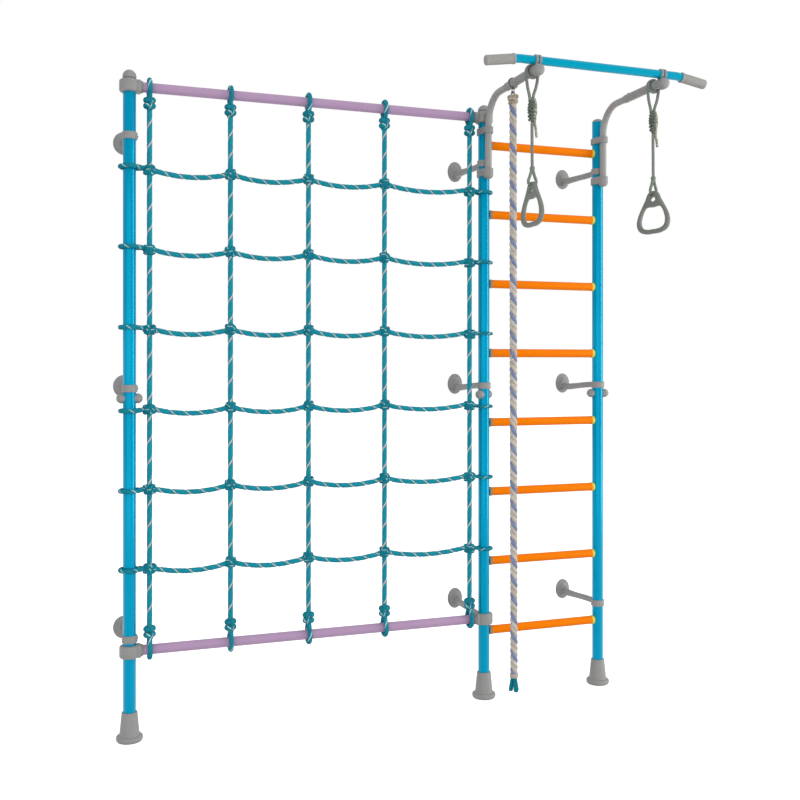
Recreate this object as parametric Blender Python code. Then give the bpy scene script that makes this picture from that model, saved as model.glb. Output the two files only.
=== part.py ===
"""Wall bars for a home: three posts held to a wall, with a climbing net, a ladder and a bar.

The wall bars stand on the floor at z = 0, with +X along the wall to the right, +Y towards the
wall and +Z up. The origin is under the middle post. All sizes are in metres.
"""

import math

import bmesh
import bpy
from mathutils import Matrix, Vector

# Clearance between pieces that touch
GAP = 0.0003

# Posts: three steel tubes, each in two lengths with a spigot joint
NET_WIDTH = 1.28
LADDER_WIDTH = 0.485
POST_RADIUS = 0.021
POST_WALL = 0.0016
POST_SIDES = 12
POST_TOP = 2.185
SPIGOT_LENGTH = 0.062
SPIGOT_WALL = 0.0016
POST_X = {"left": -NET_WIDTH, "middle": 0.0, "right": LADDER_WIDTH}

# Rungs of the ladder, from the lowest to the one under the posts' tops
RUNG_COUNT = 8
RUNG_FIRST = 0.2485
RUNG_BELOW_TOP = 0.1235
RUNG_PITCH = (POST_TOP - RUNG_BELOW_TOP - RUNG_FIRST) / (RUNG_COUNT - 1)
RUNG_RADIUS = 0.01525
RUNG_SIDES = 10
FERRULE_RADIUS = 0.0166
FERRULE_REACH = 0.031
FERRULE_STEP = 0.0006

# The posts' joint is between the fourth and the fifth rung
SEAM_ABOVE_RUNG = 0.1375
SEAM_HEIGHT = RUNG_FIRST + 3 * RUNG_PITCH + SEAM_ABOVE_RUNG

# Feet
FOOT_HEIGHT = 0.095
FOOT_SOLE = 0.012
FOOT_NECK_RADIUS = 0.0255
FOOT_WAIST_RADIUS = 0.031
FOOT_WAIST_HEIGHT = 0.028
FOOT_RIM_RADIUS = 0.0435
FOOT_RIM_BOTTOM = 0.004
FOOT_RIM_TOP = 0.010
FOOT_BASE_RADIUS = 0.040

# Caps
BALL_RADIUS = 0.0225
CAP_PLUG_LENGTH = 0.015
LOW_DOME_HEIGHT = 0.0135

# Cross bolts of the posts' joints, with the turn of each about its post
BOLT_DROP = 0.033
BOLT_RADIUS = 0.004
BOLT_SIDES = 6
KNOB_SIDES = 8
KNOB_RADIUS = 0.016
KNOB_WIDTH = 0.007
KNOB_SLOPE = 0.006
KNOB_STEP_RADIUS = 0.0125
KNOB_STEP = 0.003
KNOB_BUTTON_RADIUS = 0.009
KNOB_BUTTON_HEIGHT = 0.006
BOLT_TURN = {"left": 0.0, "middle": -25.0, "right": -10.0}

# Split clamps that hold the net bars
CLAMP_WALL = 0.012
CLAMP_HEIGHT = 0.042
CLAMP_SLIT = 0.003
SOCKET_WALL = 0.0037
SOCKET_LENGTH = 0.0125
SOCKET_FLOOR = 0.0025

# Bars that carry the net: the lower one's clamp sits just above the lowest rung
NET_BAR_RADIUS = 0.0165
NET_BAR_WALL = 0.0015
NET_BAR_SIDES = 12
NET_BAR_BELOW_TOP = 0.0225
CLAMP_ABOVE_RUNG = 0.0084
NET_BAR_HEIGHT = {
    "top": POST_TOP - NET_BAR_BELOW_TOP,
    "bottom": RUNG_FIRST + FERRULE_RADIUS + CLAMP_ABOVE_RUNG + CLAMP_HEIGHT / 2,
}

# Wall brackets. The heights are those of the flange's centre, of the strap's start and of the band:
# they hang from the posts' tops, lie at the joint, or stand on the lower net bar and the lowest rung
WALL_DISTANCE = 0.285
FLANGE_RADIUS = 0.0375
FLANGE_RIM = 0.005
FLANGE_DEPTH = 0.016
FLANGE_BOSS_RADIUS = 0.016
BAND_HEIGHT = 0.024
BAND_WALL = 0.0042
STRAP_HEIGHT = 0.022
STRAP_WIDTH = 0.012
BRACKET_BASE = {
    ("left", "top"): POST_TOP,
    ("middle", "top"): POST_TOP,
    ("right", "top"): POST_TOP,
    ("left", "middle"): SEAM_HEIGHT,
    ("middle", "middle"): SEAM_HEIGHT,
    ("right", "middle"): SEAM_HEIGHT,
    ("left", "bottom"): NET_BAR_HEIGHT["bottom"],
    ("middle", "bottom"): NET_BAR_HEIGHT["bottom"],
    ("right", "bottom"): RUNG_FIRST,
}
BRACKET_OFFSETS = {
    ("left", "top"): (-0.158, -0.172, -0.1804),
    ("middle", "top"): (-0.172, -0.186, -0.195),
    ("right", "top"): (-0.172, -0.186, -0.194),
    ("left", "middle"): (0.001, -0.013, 0.0),
    ("middle", "middle"): (0.001, -0.013, 0.0),
    ("right", "middle"): (0.001, -0.013, 0.0),
    ("left", "bottom"): (0.0085, 0.0185, 0.0415),
    ("middle", "bottom"): (0.0115, 0.0055, 0.0015),
    ("right", "bottom"): (0.0575, 0.0515, 0.0655),
}

# Bent arms, their two-eyed clamps and the holders of the pull-up bar
ARM_RADIUS = 0.0125
ARM_WALL = 0.0015
ARM_SIDES = 12
ARM_OFFSET = 0.0405
ARM_RISE = 0.041
ARM_TOP = POST_TOP + ARM_RISE
ARM_BEND_RADIUS = 0.10
ARM_REACH = 0.41
ARM_CLAMP_WALL = 0.0055
UPPER_CLAMP_BELOW_TOP = 0.087
UPPER_CLAMP_HEIGHT = 0.022
LOWER_CLAMP_BELOW_TOP = 0.244
LOWER_CLAMP_HEIGHT = 0.026
CUP_DEPTH = 0.012
CUP_FLOOR = 0.006
ARM_BOTTOM = POST_TOP - LOWER_CLAMP_BELOW_TOP + CUP_FLOOR
HOLDER_RADIUS = 0.015
HOLDER_START = 0.20
HOLDER_SOCKET_END = ARM_REACH + 0.002
NOSE_RADIUS = 0.020
NOSE_DROP = 0.006
STRAP_RING_WALL = 0.0042
STRAP_RING_WIDTH = 0.008
STRAP_RING_GAP = 0.005

# Pull-up bar and its grips
BAR_RADIUS = 0.01425
BAR_WALL = 0.0015
BAR_SIDES = 12
BAR_SINK = 0.00175
BAR_HEIGHT = ARM_TOP + HOLDER_RADIUS + BAR_RADIUS - BAR_SINK
BAR_FORWARD = HOLDER_SOCKET_END + 0.018
HOLDER_NOSE = BAR_FORWARD + 0.007
BAR_OVERHANG_LEFT = 0.067
BAR_OVERHANG_RIGHT = 0.062
GRIP_LENGTH = 0.120
GRIP_RADIUS = 0.0168
GRIP_START = 0.016
GRIP_COLLAR = 0.006
GRIP_COLLAR_WALL = 0.0012
GRIP_RIBS = 6
GRIP_RIB_DEPTH = 0.0009
GRIP_END = 0.006
GRIP_DROP = 0.0169
GRIP_BACK = 0.0068

# Climbing net: its rows hang between the two bars, its upright ropes at these distances
NET_ROPE_RADIUS = 0.008
NET_ROPE_SIDES = 6
NET_UPRIGHT_SHARES = (0.0504, 0.2605, 0.4744, 0.6941, 0.9545)
NET_UPRIGHTS = tuple(NET_WIDTH * (share - 1) for share in NET_UPRIGHT_SHARES)
NET_ROWS = 6
NET_ROW_ABOVE_BAR = 0.272
NET_ROW_BELOW_BAR = 0.270
NET_FIRST_ROW = NET_BAR_HEIGHT["bottom"] + NET_ROW_ABOVE_BAR
NET_ROW_PITCH = (NET_BAR_HEIGHT["top"] - NET_ROW_BELOW_BAR - NET_FIRST_ROW) / (NET_ROWS - 1)
NET_SAG = 0.019
NET_LOOP_DROP = 0.007
NET_LOOP_CLEARANCE = 0.0007
KNOT_WIDE = (0.0245, 0.019, 0.018)
KNOT_ROUND = (0.0195, 0.019, 0.0205)
END_KNOT_WIDTH = 0.020
END_KNOT_HEIGHT = 0.020
TOP_END_KNOT = NET_BAR_HEIGHT["top"] - 0.0505
BOTTOM_END_KNOT = NET_BAR_HEIGHT["bottom"] + 0.0595

# Rings on their ropes, from the holder down: how far in front of the posts, and each ring's turn
RING_FORWARD = {"left": 0.395, "right": 0.378}
RING_TURN = {"left": 2.0, "right": 11.0}
RING_ROPE_RADIUS = 0.004
SLING_CLEARANCE = 0.0007
SLING_DROP = 0.092
SLING_KNOT_LENGTH = 0.080
SLING_KNOT_SIZE = (0.015, 0.013)
SLING_TAIL_LENGTH = 0.056
SLING_KNOT_TOP = ARM_TOP - SLING_DROP
SLING_KNOT_BOTTOM = SLING_KNOT_TOP - SLING_KNOT_LENGTH
CORD_PIVOT = SLING_KNOT_BOTTOM - GAP - RING_ROPE_RADIUS
CORD_LENGTH = 0.147
CORD_CLAMP_HEIGHT = 0.014
CORD_CLAMP_RADIUS = 0.0065
CORD_CLAMP_TOP = SLING_KNOT_BOTTOM - CORD_LENGTH
CORD_CLAMP_BOTTOM = CORD_CLAMP_TOP - CORD_CLAMP_HEIGHT
EYE_LENGTH = 0.037
EYE_CLEARANCE = 0.0008
RING_TOP = CORD_CLAMP_BOTTOM - EYE_LENGTH
EYE_HEIGHT = RING_TOP - 0.0096
RING_THICKNESS = 0.016
RING_EDGE = 0.004
RING_OUTLINE = ((0.0, 0.0), (0.019, 0.005), (0.036, 0.031), (0.052, 0.054), (0.065, 0.074),
                (0.075, 0.095), (0.0775, 0.117), (0.068, 0.140), (0.045, 0.149), (0.0, 0.150))
RING_OPENING = ((0.0, 0.057), (0.034, 0.057), (0.0425, 0.064), (0.054, 0.088), (0.0575, 0.107),
                (0.052, 0.124), (0.038, 0.1285), (0.0, 0.1285))
RING_HOLE_DEPTH = 0.030
RING_HOLE_SIZE = (0.013, 0.007)
EYE_SLOT_SIZE = (0.0078, 0.0064)
EYE_SLOT_DROP = 0.0016

# Climbing rope on its hook, which hangs on the left holder
ROPE_FORWARD = 0.248
ROPE_RADIUS = 0.0125
ROPE_BOTTOM = 0.155
ROPE_POINTS = 28
WIRE_RADIUS = 0.0021
HOOK_WIRE_RADIUS = 0.0025
HOOK_CLEARANCE = 0.0007
HOOK_RADIUS = HOLDER_RADIUS + HOOK_WIRE_RADIUS + HOOK_CLEARANCE
HOOK_RING_RADIUS = 0.0085
HOOK_RING_HEIGHT = ARM_TOP - HOOK_RADIUS - HOOK_RING_RADIUS + 0.001
ROPE_PIVOT = HOOK_RING_HEIGHT - HOOK_RING_RADIUS + WIRE_RADIUS
STAPLE_TOP = ROPE_PIVOT + 0.0005 + WIRE_RADIUS
STAPLE_RISE = 0.0115
STAPLE_HALF_WIDTH = 0.0065
CROWN_RADIUS = 0.0185
CROWN_HEIGHT = 0.0305
CROWN_TOP = STAPLE_TOP - STAPLE_RISE
CROWN_BOTTOM = CROWN_TOP - CROWN_HEIGHT
WHIPPING_LENGTH = 0.009
WHIPPING_WALL = 0.0006
TASSEL_LENGTH = 0.0475
TASSEL_RADIUS = 0.016
TASSEL_SPLIT = 0.007


def clear_scene():
    """Start from an empty scene."""
    for obj in list(bpy.data.objects):
        bpy.data.objects.remove(obj)


def material(name, color, roughness, metallic=0.0):
    """One Principled material."""
    made = bpy.data.materials.new(name)
    made.use_nodes = True
    shader = made.node_tree.nodes["Principled BSDF"]
    shader.inputs["Base Color"].default_value = (*color, 1.0)
    shader.inputs["Roughness"].default_value = roughness
    shader.inputs["Metallic"].default_value = metallic
    return made


def add_object(name, mesh):
    """Put a mesh into the scene, shaded smooth but for its edges."""
    mesh.shade_smooth()
    mesh.set_sharp_from_angle(angle=math.radians(40))
    obj = bpy.data.objects.new(name, mesh)
    bpy.context.collection.objects.link(obj)
    return obj


def mesh_from(bm, name):
    """Close a bmesh into a mesh whose faces point out."""
    bmesh.ops.remove_doubles(bm, verts=bm.verts, dist=1e-6)
    bmesh.ops.recalc_face_normals(bm, faces=bm.faces)
    mesh = bpy.data.meshes.new(name)
    bm.to_mesh(mesh)
    bm.free()
    return mesh


def join_rings(bm, one, other):
    """Faces between two rings of points; a ring of one point is a pole."""
    count = max(len(one), len(other))
    if len(one) == len(other) == 1:
        return
    for i in range(count):
        j = (i + 1) % count
        corners = [one[i % len(one)], one[j % len(one)], other[j % len(other)], other[i % len(other)]]
        face = []
        for corner in corners:
            if corner not in face:
                face.append(corner)
        bm.faces.new(face)


def rings_mesh(rings, name, closed=False):
    """A mesh through rings of points; its ends are capped, or joined to each other."""
    bm = bmesh.new()
    made = [[bm.verts.new(point) for point in ring] for ring in rings]
    for one, other in zip(made, made[1:]):
        join_rings(bm, one, other)
    if closed:
        join_rings(bm, made[-1], made[0])
    else:
        for ring in (made[0], made[-1]):
            if len(ring) > 2:
                bm.faces.new(ring)
    return mesh_from(bm, name)


def turned(name, profile, sides, closed=False):
    """A solid turned about Z from (radius, height) points; closed joins the last to the first."""
    rings = []
    for radius, height in profile:
        if radius < 1e-6:
            rings.append([(0.0, 0.0, height)])
            continue
        angles = [2 * math.pi * i / sides for i in range(sides)]
        rings.append([(radius * math.cos(a), radius * math.sin(a), height) for a in angles])
    return add_object(name, rings_mesh(rings, name, closed))


def arc(centre, radius, start, end, steps, squash=1.0):
    """Points (radius, height) on an arc between two angles in degrees."""
    points = []
    for i in range(steps + 1):
        angle = math.radians(start + (end - start) * i / steps)
        points.append((centre[0] + radius * math.cos(angle), centre[1] + squash * radius * math.sin(angle)))
    return points


def rod(name, radius, start, end, sides):
    """A solid cylinder between two points."""
    start = Vector(start)
    end = Vector(end)
    obj = turned(name, [(radius, 0.0), (radius, (end - start).length)], sides)
    turn = Vector((0, 0, 1)).rotation_difference(end - start).to_matrix().to_4x4()
    obj.matrix_world = Matrix.Translation(start) @ turn
    return obj


def block(name, size, centre):
    """A box of a size about a centre."""
    bm = bmesh.new()
    bmesh.ops.create_cube(bm, size=1.0)
    bmesh.ops.scale(bm, vec=size, verts=bm.verts)
    obj = add_object(name, mesh_from(bm, name))
    obj.location = centre
    return obj


def path_frames(path, closed):
    """Two directions square to a path at each point, carried along without twist."""
    count = len(path)
    tangents = []
    for i in range(count):
        before = path[i - 1] if i > 0 or closed else path[0]
        after = path[(i + 1) % count] if i < count - 1 or closed else path[-1]
        tangents.append((after - before).normalized())
    first = tangents[0]
    helper = Vector((0, 0, 1)) if abs(first.z) < 0.9 else Vector((1, 0, 0))
    side = first.cross(helper).normalized()
    frames = []
    for tangent in tangents:
        side = (side - tangent * side.dot(tangent)).normalized()
        frames.append((side, tangent.cross(side)))
    return frames


def swept(name, path, radius, sides, wall=None, closed=False):
    """A rod or, with a wall, a tube along a path of points."""
    path = [Vector(point) for point in path]
    frames = path_frames(path, closed)

    def skin(size):
        rings = []
        for point, (side, up) in zip(path, frames):
            angles = [2 * math.pi * i / sides for i in range(sides)]
            rings.append([point + size * (math.cos(a) * side + math.sin(a) * up) for a in angles])
        return rings

    if wall is None:
        return add_object(name, rings_mesh(skin(radius), name, closed))
    return add_object(name, rings_mesh(skin(radius) + skin(radius - wall)[::-1], name, closed=True))


def lofted(name, sections):
    """A solid through several outlines."""
    return add_object(name, rings_mesh(sections, name))


def rounded_section(centre, width, height, y, corner=0.3):
    """An eight-cornered outline in the XZ plane."""
    half_w = width / 2
    half_h = height / 2
    cut = corner * min(half_w, half_h)
    corners = ((half_w, half_h - cut), (half_w - cut, half_h), (cut - half_w, half_h), (-half_w, half_h - cut),
               (-half_w, cut - half_h), (cut - half_w, -half_h), (half_w - cut, -half_h), (half_w, cut - half_h))
    return [(centre[0] + x, y, centre[1] + z) for x, z in corners]


def spline_points(anchors, steps, closed=False):
    """Points of a smooth curve through the anchors (Catmull-Rom)."""
    anchors = [Vector(anchor) for anchor in anchors]
    count = len(anchors)
    spans = count if closed else count - 1
    points = []
    for i in range(spans):
        p0 = anchors[i - 1] if i > 0 or closed else anchors[0]
        p1 = anchors[i]
        p2 = anchors[(i + 1) % count]
        p3 = anchors[(i + 2) % count] if i + 2 < count or closed else anchors[-1]
        for step in range(steps):
            t = step / steps
            points.append(0.5 * (2 * p1 + (p2 - p0) * t + (2 * p0 - 5 * p1 + 4 * p2 - p3) * t ** 2
                                 + (3 * p1 - p0 - 3 * p2 + p3) * t ** 3))
    if not closed:
        points.append(anchors[-1])
    return points


def apply_modifiers(obj):
    """Replace an object's mesh by its evaluated one."""
    bpy.context.view_layer.update()
    depsgraph = bpy.context.evaluated_depsgraph_get()
    mesh = bpy.data.meshes.new_from_object(obj.evaluated_get(depsgraph))
    obj.modifiers.clear()
    obj.data = mesh
    mesh.shade_smooth()
    mesh.set_sharp_from_angle(angle=math.radians(40))
    return obj


def combine(body, tools, operation):
    """Unite a body with the tools, or cut them out of it, one after the other."""
    for tool in tools:
        boolean = body.modifiers.new(operation.title(), "BOOLEAN")
        boolean.operation = operation
        boolean.solver = "EXACT"
        boolean.object = tool
        apply_modifiers(body)
        bpy.data.objects.remove(tool)
    return body


def unite(body, *tools):
    """One body out of several that overlap."""
    return combine(body, tools, "UNION")


def cut(body, *tools):
    """Take the tools' volume out of a body."""
    return combine(body, tools, "DIFFERENCE")


def unite_many(body, pieces):
    """One body out of very many, in one step."""
    group = bpy.data.collections.new("pieces of " + body.name)
    bpy.context.scene.collection.children.link(group)
    for piece in pieces:
        bpy.context.collection.objects.unlink(piece)
        group.objects.link(piece)
    boolean = body.modifiers.new("Union", "BOOLEAN")
    boolean.operation = "UNION"
    boolean.solver = "EXACT"
    boolean.operand_type = "COLLECTION"
    boolean.collection = group
    apply_modifiers(body)
    for piece in pieces:
        bpy.data.objects.remove(piece)
    bpy.data.collections.remove(group)
    return body


def paint(obj, surface):
    """Give an object its one material."""
    obj.data.materials.clear()
    obj.data.materials.append(surface)
    return obj


def move_origin(obj, point):
    """Move an object's origin to a world point, with its shape left where it is."""
    bpy.context.view_layer.update()
    obj.data.transform(Matrix.Translation(-Vector(point)) @ obj.matrix_world)
    obj.matrix_world = Matrix.Translation(Vector(point))
    return obj


def post_core(x, z, extra=GAP):
    """A cutter the size of a post, with the clearance, that reaches well past a piece at height z."""
    reach = 6 * POST_RADIUS
    return rod("post cutter", POST_RADIUS + extra, (x, 0, z - reach), (x, 0, z + reach), POST_SIDES)


def bolt_frame(post):
    """Where a post's cross bolt sits and how it is turned."""
    height = SEAM_HEIGHT - BOLT_DROP
    return Matrix.Translation((POST_X[post], 0, height)) @ Matrix.Rotation(math.radians(BOLT_TURN[post]), 4, "Z")


def bolt_rod(post, radius, reach):
    """A rod through a post along its cross bolt."""
    frame = bolt_frame(post)
    return rod("bolt hole", radius, frame @ Vector((-reach, 0, 0)), frame @ Vector((reach, 0, 0)), BOLT_SIDES)


def make_post(post, steel):
    """A post's lower and upper tube; the upper one's spigot goes down into the lower one."""
    inner = POST_RADIUS - POST_WALL
    spigot = inner - GAP
    bore = spigot - SPIGOT_WALL
    spigot_end = SEAM_HEIGHT - SPIGOT_LENGTH
    bottom = FOOT_SOLE + GAP
    lower = turned("post_" + post + "_lower", [(POST_RADIUS, bottom), (POST_RADIUS, SEAM_HEIGHT),
                                              (inner, SEAM_HEIGHT), (inner, bottom)], POST_SIDES, closed=True)
    seat = SEAM_HEIGHT + GAP
    upper = turned("post_" + post + "_upper", [(spigot, spigot_end), (spigot, seat), (POST_RADIUS, seat),
                                              (POST_RADIUS, POST_TOP), (inner, POST_TOP), (inner, seat + POST_RADIUS / 2),
                                              (bore, seat), (bore, spigot_end)], POST_SIDES, closed=True)
    for tube in (lower, upper):
        tube.location.x = POST_X[post]
        cut(tube, bolt_rod(post, BOLT_RADIUS + GAP, POST_RADIUS * 2))
        paint(tube, steel)


def make_foot(post, plastic):
    """A flared foot with a socket for the post."""
    socket = POST_RADIUS + GAP
    profile = [(0.0, 0.0), (FOOT_BASE_RADIUS, 0.0), (FOOT_RIM_RADIUS, FOOT_RIM_BOTTOM),
               (FOOT_RIM_RADIUS, FOOT_RIM_TOP), (FOOT_WAIST_RADIUS, FOOT_WAIST_HEIGHT)]
    profile += [(FOOT_NECK_RADIUS, FOOT_HEIGHT), (socket, FOOT_HEIGHT), (socket, FOOT_SOLE), (0.0, FOOT_SOLE)]
    foot = turned("foot_" + post, profile, POST_SIDES)
    foot.location.x = POST_X[post]
    paint(foot, plastic)


def make_cap(post, plastic):
    """A cap with a plug in the post's top: a ball, or a low dome on the right post."""
    plug = POST_RADIUS - POST_WALL - GAP
    seat = POST_TOP + GAP
    profile = [(0.0, POST_TOP - CAP_PLUG_LENGTH), (plug, POST_TOP - CAP_PLUG_LENGTH), (plug, seat)]
    if post == "right":
        profile += arc((0.0, seat), POST_RADIUS, 0, 72, 3, LOW_DOME_HEIGHT / POST_RADIUS)
        profile.append((0.0, seat + LOW_DOME_HEIGHT))
    else:
        rise = math.sqrt(BALL_RADIUS ** 2 - POST_RADIUS ** 2)
        start = -math.degrees(math.asin(rise / BALL_RADIUS))
        profile += arc((0.0, seat + rise), BALL_RADIUS, start, 66, 3)
        profile.append((0.0, seat + rise + BALL_RADIUS))
    cap = turned("cap_" + post, profile, POST_SIDES)
    cap.location.x = POST_X[post]
    paint(cap, plastic)


def make_joint_bolt(post, plastic):
    """A cross bolt with a stepped round knob seated on both sides of the post."""
    bolt = bolt_rod(post, BOLT_RADIUS, POST_RADIUS + KNOB_WIDTH)
    bolt.name = "joint_bolt_" + post
    rim = POST_RADIUS + KNOB_WIDTH
    step = rim + KNOB_SLOPE
    button = step + KNOB_STEP
    profile = [(KNOB_RADIUS, POST_RADIUS / 2), (KNOB_RADIUS, rim), (KNOB_STEP_RADIUS, step),
               (KNOB_BUTTON_RADIUS, button), (0.9 * KNOB_BUTTON_RADIUS, button + KNOB_BUTTON_HEIGHT)]
    for side in (-90, 90):
        knob = turned("knob", profile, KNOB_SIDES)
        knob.matrix_world = (bolt_frame(post) @ Matrix.Rotation(math.radians(side), 4, "Y")
                             @ Matrix.Rotation(math.pi / KNOB_SIDES, 4, "Z"))
        cut(knob, post_core(POST_X[post], SEAM_HEIGHT))
        unite(bolt, knob)
    paint(bolt, plastic)


def make_net_bar(level, steel):
    """One of the two tubes that the net is tied to."""
    z = NET_BAR_HEIGHT[level]
    end = POST_RADIUS + SOCKET_FLOOR + GAP
    path = [(POST_X["left"] + end, 0, z), (POST_X["middle"] - end, 0, z)]
    bar = swept("net_bar_" + level, path, NET_BAR_RADIUS, NET_BAR_SIDES, wall=NET_BAR_WALL)
    paint(bar, steel)


def make_net_clamp(post, level, plastic):
    """A thick clamp round the post, slit on one side, with a socket for the net bar on the other."""
    x = POST_X[post]
    z = NET_BAR_HEIGHT[level]
    toward = 1 if post == "left" else -1
    ring_radius = POST_RADIUS + CLAMP_WALL
    half = CLAMP_HEIGHT / 2
    clamp = rod("net_clamp_" + level + "_" + post, ring_radius, (x, 0, z - half), (x, 0, z + half), POST_SIDES)
    socket_radius = NET_BAR_RADIUS + SOCKET_WALL
    socket_end = ring_radius + SOCKET_LENGTH
    socket = rod("socket", socket_radius, (x, 0, z), (x + toward * socket_end, 0, z), NET_BAR_SIDES)
    unite(clamp, socket)
    slit = block("slit", (2 * CLAMP_WALL, CLAMP_SLIT, 1.2 * CLAMP_HEIGHT), (x - toward * ring_radius, 0, z))
    floor = x + toward * (POST_RADIUS + SOCKET_FLOOR)
    bore = rod("bar bore", NET_BAR_RADIUS + GAP, (floor, 0, z), (x + toward * 2 * socket_end, 0, z), NET_BAR_SIDES)
    cut(clamp, post_core(x, z), slit, bore)
    if (post, level) == ("middle", "top"):
        cut(clamp, swept("arm room", arm_path(x), ARM_RADIUS + GAP, ARM_SIDES))
    paint(clamp, plastic)


def make_bracket(post, level, plastic):
    """A domed flange on the wall, a strap, and a band round the post or a saddle on its clamp."""
    base = BRACKET_BASE[(post, level)]
    flange_z, strap_z, band_z = [base + offset for offset in BRACKET_OFFSETS[(post, level)]]
    x = POST_X[post]
    profile = [(FLANGE_RADIUS, 0.0), (FLANGE_RADIUS - 0.001, FLANGE_RIM), (FLANGE_BOSS_RADIUS, FLANGE_DEPTH)]
    bracket = turned("wall_bracket_" + level + "_" + post, profile, POST_SIDES)
    bracket.matrix_world = (Matrix.Translation((x, WALL_DISTANCE, flange_z))
                            @ Matrix.Rotation(math.radians(90), 4, "X"))
    on_clamp = (post, level) == ("middle", "bottom")
    strap_end = POST_RADIUS + (CLAMP_WALL if on_clamp else BAND_WALL) / 2
    strap_start = WALL_DISTANCE - 0.4 * FLANGE_DEPTH
    length = strap_start - strap_end
    sections = []
    for share, wide in ((0.0, 1.4), (0.3, 1.0), (1.0, 1.0)):
        blend = share * share * (3 - 2 * share)
        z = strap_z + (band_z - strap_z) * blend
        sections.append(rounded_section((x, z), STRAP_WIDTH * wide, STRAP_HEIGHT, strap_start - share * length))
    unite(bracket, lofted("strap", sections))
    if on_clamp:
        cut(bracket, post_core(x, band_z, CLAMP_WALL + GAP))
    else:
        band = rod("band", POST_RADIUS + BAND_WALL, (x, 0, band_z - BAND_HEIGHT / 2),
                   (x, 0, band_z + BAND_HEIGHT / 2), POST_SIDES)
        unite(bracket, band)
        cut(bracket, post_core(x, band_z))
    paint(bracket, plastic)


def make_rung(index, enamel):
    """A rung with a ferrule at both ends, seated on the middle and the right post."""
    z = RUNG_FIRST + index * RUNG_PITCH
    left = POST_X["middle"]
    right = POST_X["right"]
    buried = POST_RADIUS / 2
    profile = [(FERRULE_RADIUS, left + buried), (FERRULE_RADIUS, left + FERRULE_REACH),
               (RUNG_RADIUS, left + FERRULE_REACH + FERRULE_STEP),
               (RUNG_RADIUS, right - FERRULE_REACH - FERRULE_STEP),
               (FERRULE_RADIUS, right - FERRULE_REACH), (FERRULE_RADIUS, right - buried)]
    rung = turned("rung_" + str(index + 1), profile, RUNG_SIDES)
    rung.matrix_world = Matrix.Translation((0, 0, z)) @ Matrix.Rotation(math.radians(90), 4, "Y")
    for x in (left, right):
        cut(rung, post_core(x, z))
    paint(rung, enamel)


def arm_path(x):
    """The centre line of a bent arm: up beside the post, then out to the front."""
    points = [(x, -ARM_OFFSET, ARM_BOTTOM)]
    centre_y = -ARM_OFFSET - ARM_BEND_RADIUS
    centre_z = ARM_TOP - ARM_BEND_RADIUS
    for i in range(7):
        angle = math.radians(90 * i / 6)
        points.append((x, centre_y + ARM_BEND_RADIUS * math.cos(angle),
                       centre_z + ARM_BEND_RADIUS * math.sin(angle)))
    points.append((x, -ARM_REACH, ARM_TOP))
    return points


def make_arm(side, x, plastic):
    """A bent steel arm."""
    arm = swept("arm_" + side, arm_path(x), ARM_RADIUS, ARM_SIDES, wall=ARM_WALL)
    paint(arm, plastic)


def make_arm_clamp(side, x, level, plastic):
    """A two-eyed clamp round the post and the arm; the lower one has a cup under the arm."""
    if level == "lower":
        low = POST_TOP - LOWER_CLAMP_BELOW_TOP
        high = low + LOWER_CLAMP_HEIGHT
    else:
        low = POST_TOP - UPPER_CLAMP_BELOW_TOP
        high = low + UPPER_CLAMP_HEIGHT
    bm = bmesh.new()
    for centre_y, radius, sides in ((0.0, POST_RADIUS + ARM_CLAMP_WALL, POST_SIDES),
                                    (-ARM_OFFSET, ARM_RADIUS + ARM_CLAMP_WALL, ARM_SIDES)):
        for i in range(sides):
            angle = 2 * math.pi * i / sides
            for z in (low, high):
                bm.verts.new((x + radius * math.cos(angle), centre_y + radius * math.sin(angle), z))
    hull = bmesh.ops.convex_hull(bm, input=bm.verts)
    loose = [item for item in hull["geom_interior"] + hull["geom_unused"] if isinstance(item, bmesh.types.BMVert)]
    bmesh.ops.delete(bm, geom=list(set(loose)), context="VERTS")
    bmesh.ops.dissolve_limit(bm, angle_limit=0.01, verts=bm.verts, edges=bm.edges)
    name = "arm_clamp_" + level + "_" + side
    clamp = add_object(name, mesh_from(bm, name))
    bore_bottom = low - UPPER_CLAMP_HEIGHT
    if level == "lower":
        eye = ARM_RADIUS + 0.7 * ARM_CLAMP_WALL
        cup = turned("cup", [(0.4 * eye, -CUP_DEPTH), (0.8 * eye, -0.7 * CUP_DEPTH), (eye, 0.3 * CUP_DEPTH)], ARM_SIDES)
        cup.location = (x, -ARM_OFFSET, low)
        unite(clamp, cup)
        bore_bottom = ARM_BOTTOM - GAP
    arm_bore = rod("arm bore", ARM_RADIUS + GAP, (x, -ARM_OFFSET, bore_bottom),
                   (x, -ARM_OFFSET, high + UPPER_CLAMP_HEIGHT), ARM_SIDES)
    cut(clamp, post_core(x, (low + high) / 2), arm_bore)
    paint(clamp, plastic)


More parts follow.
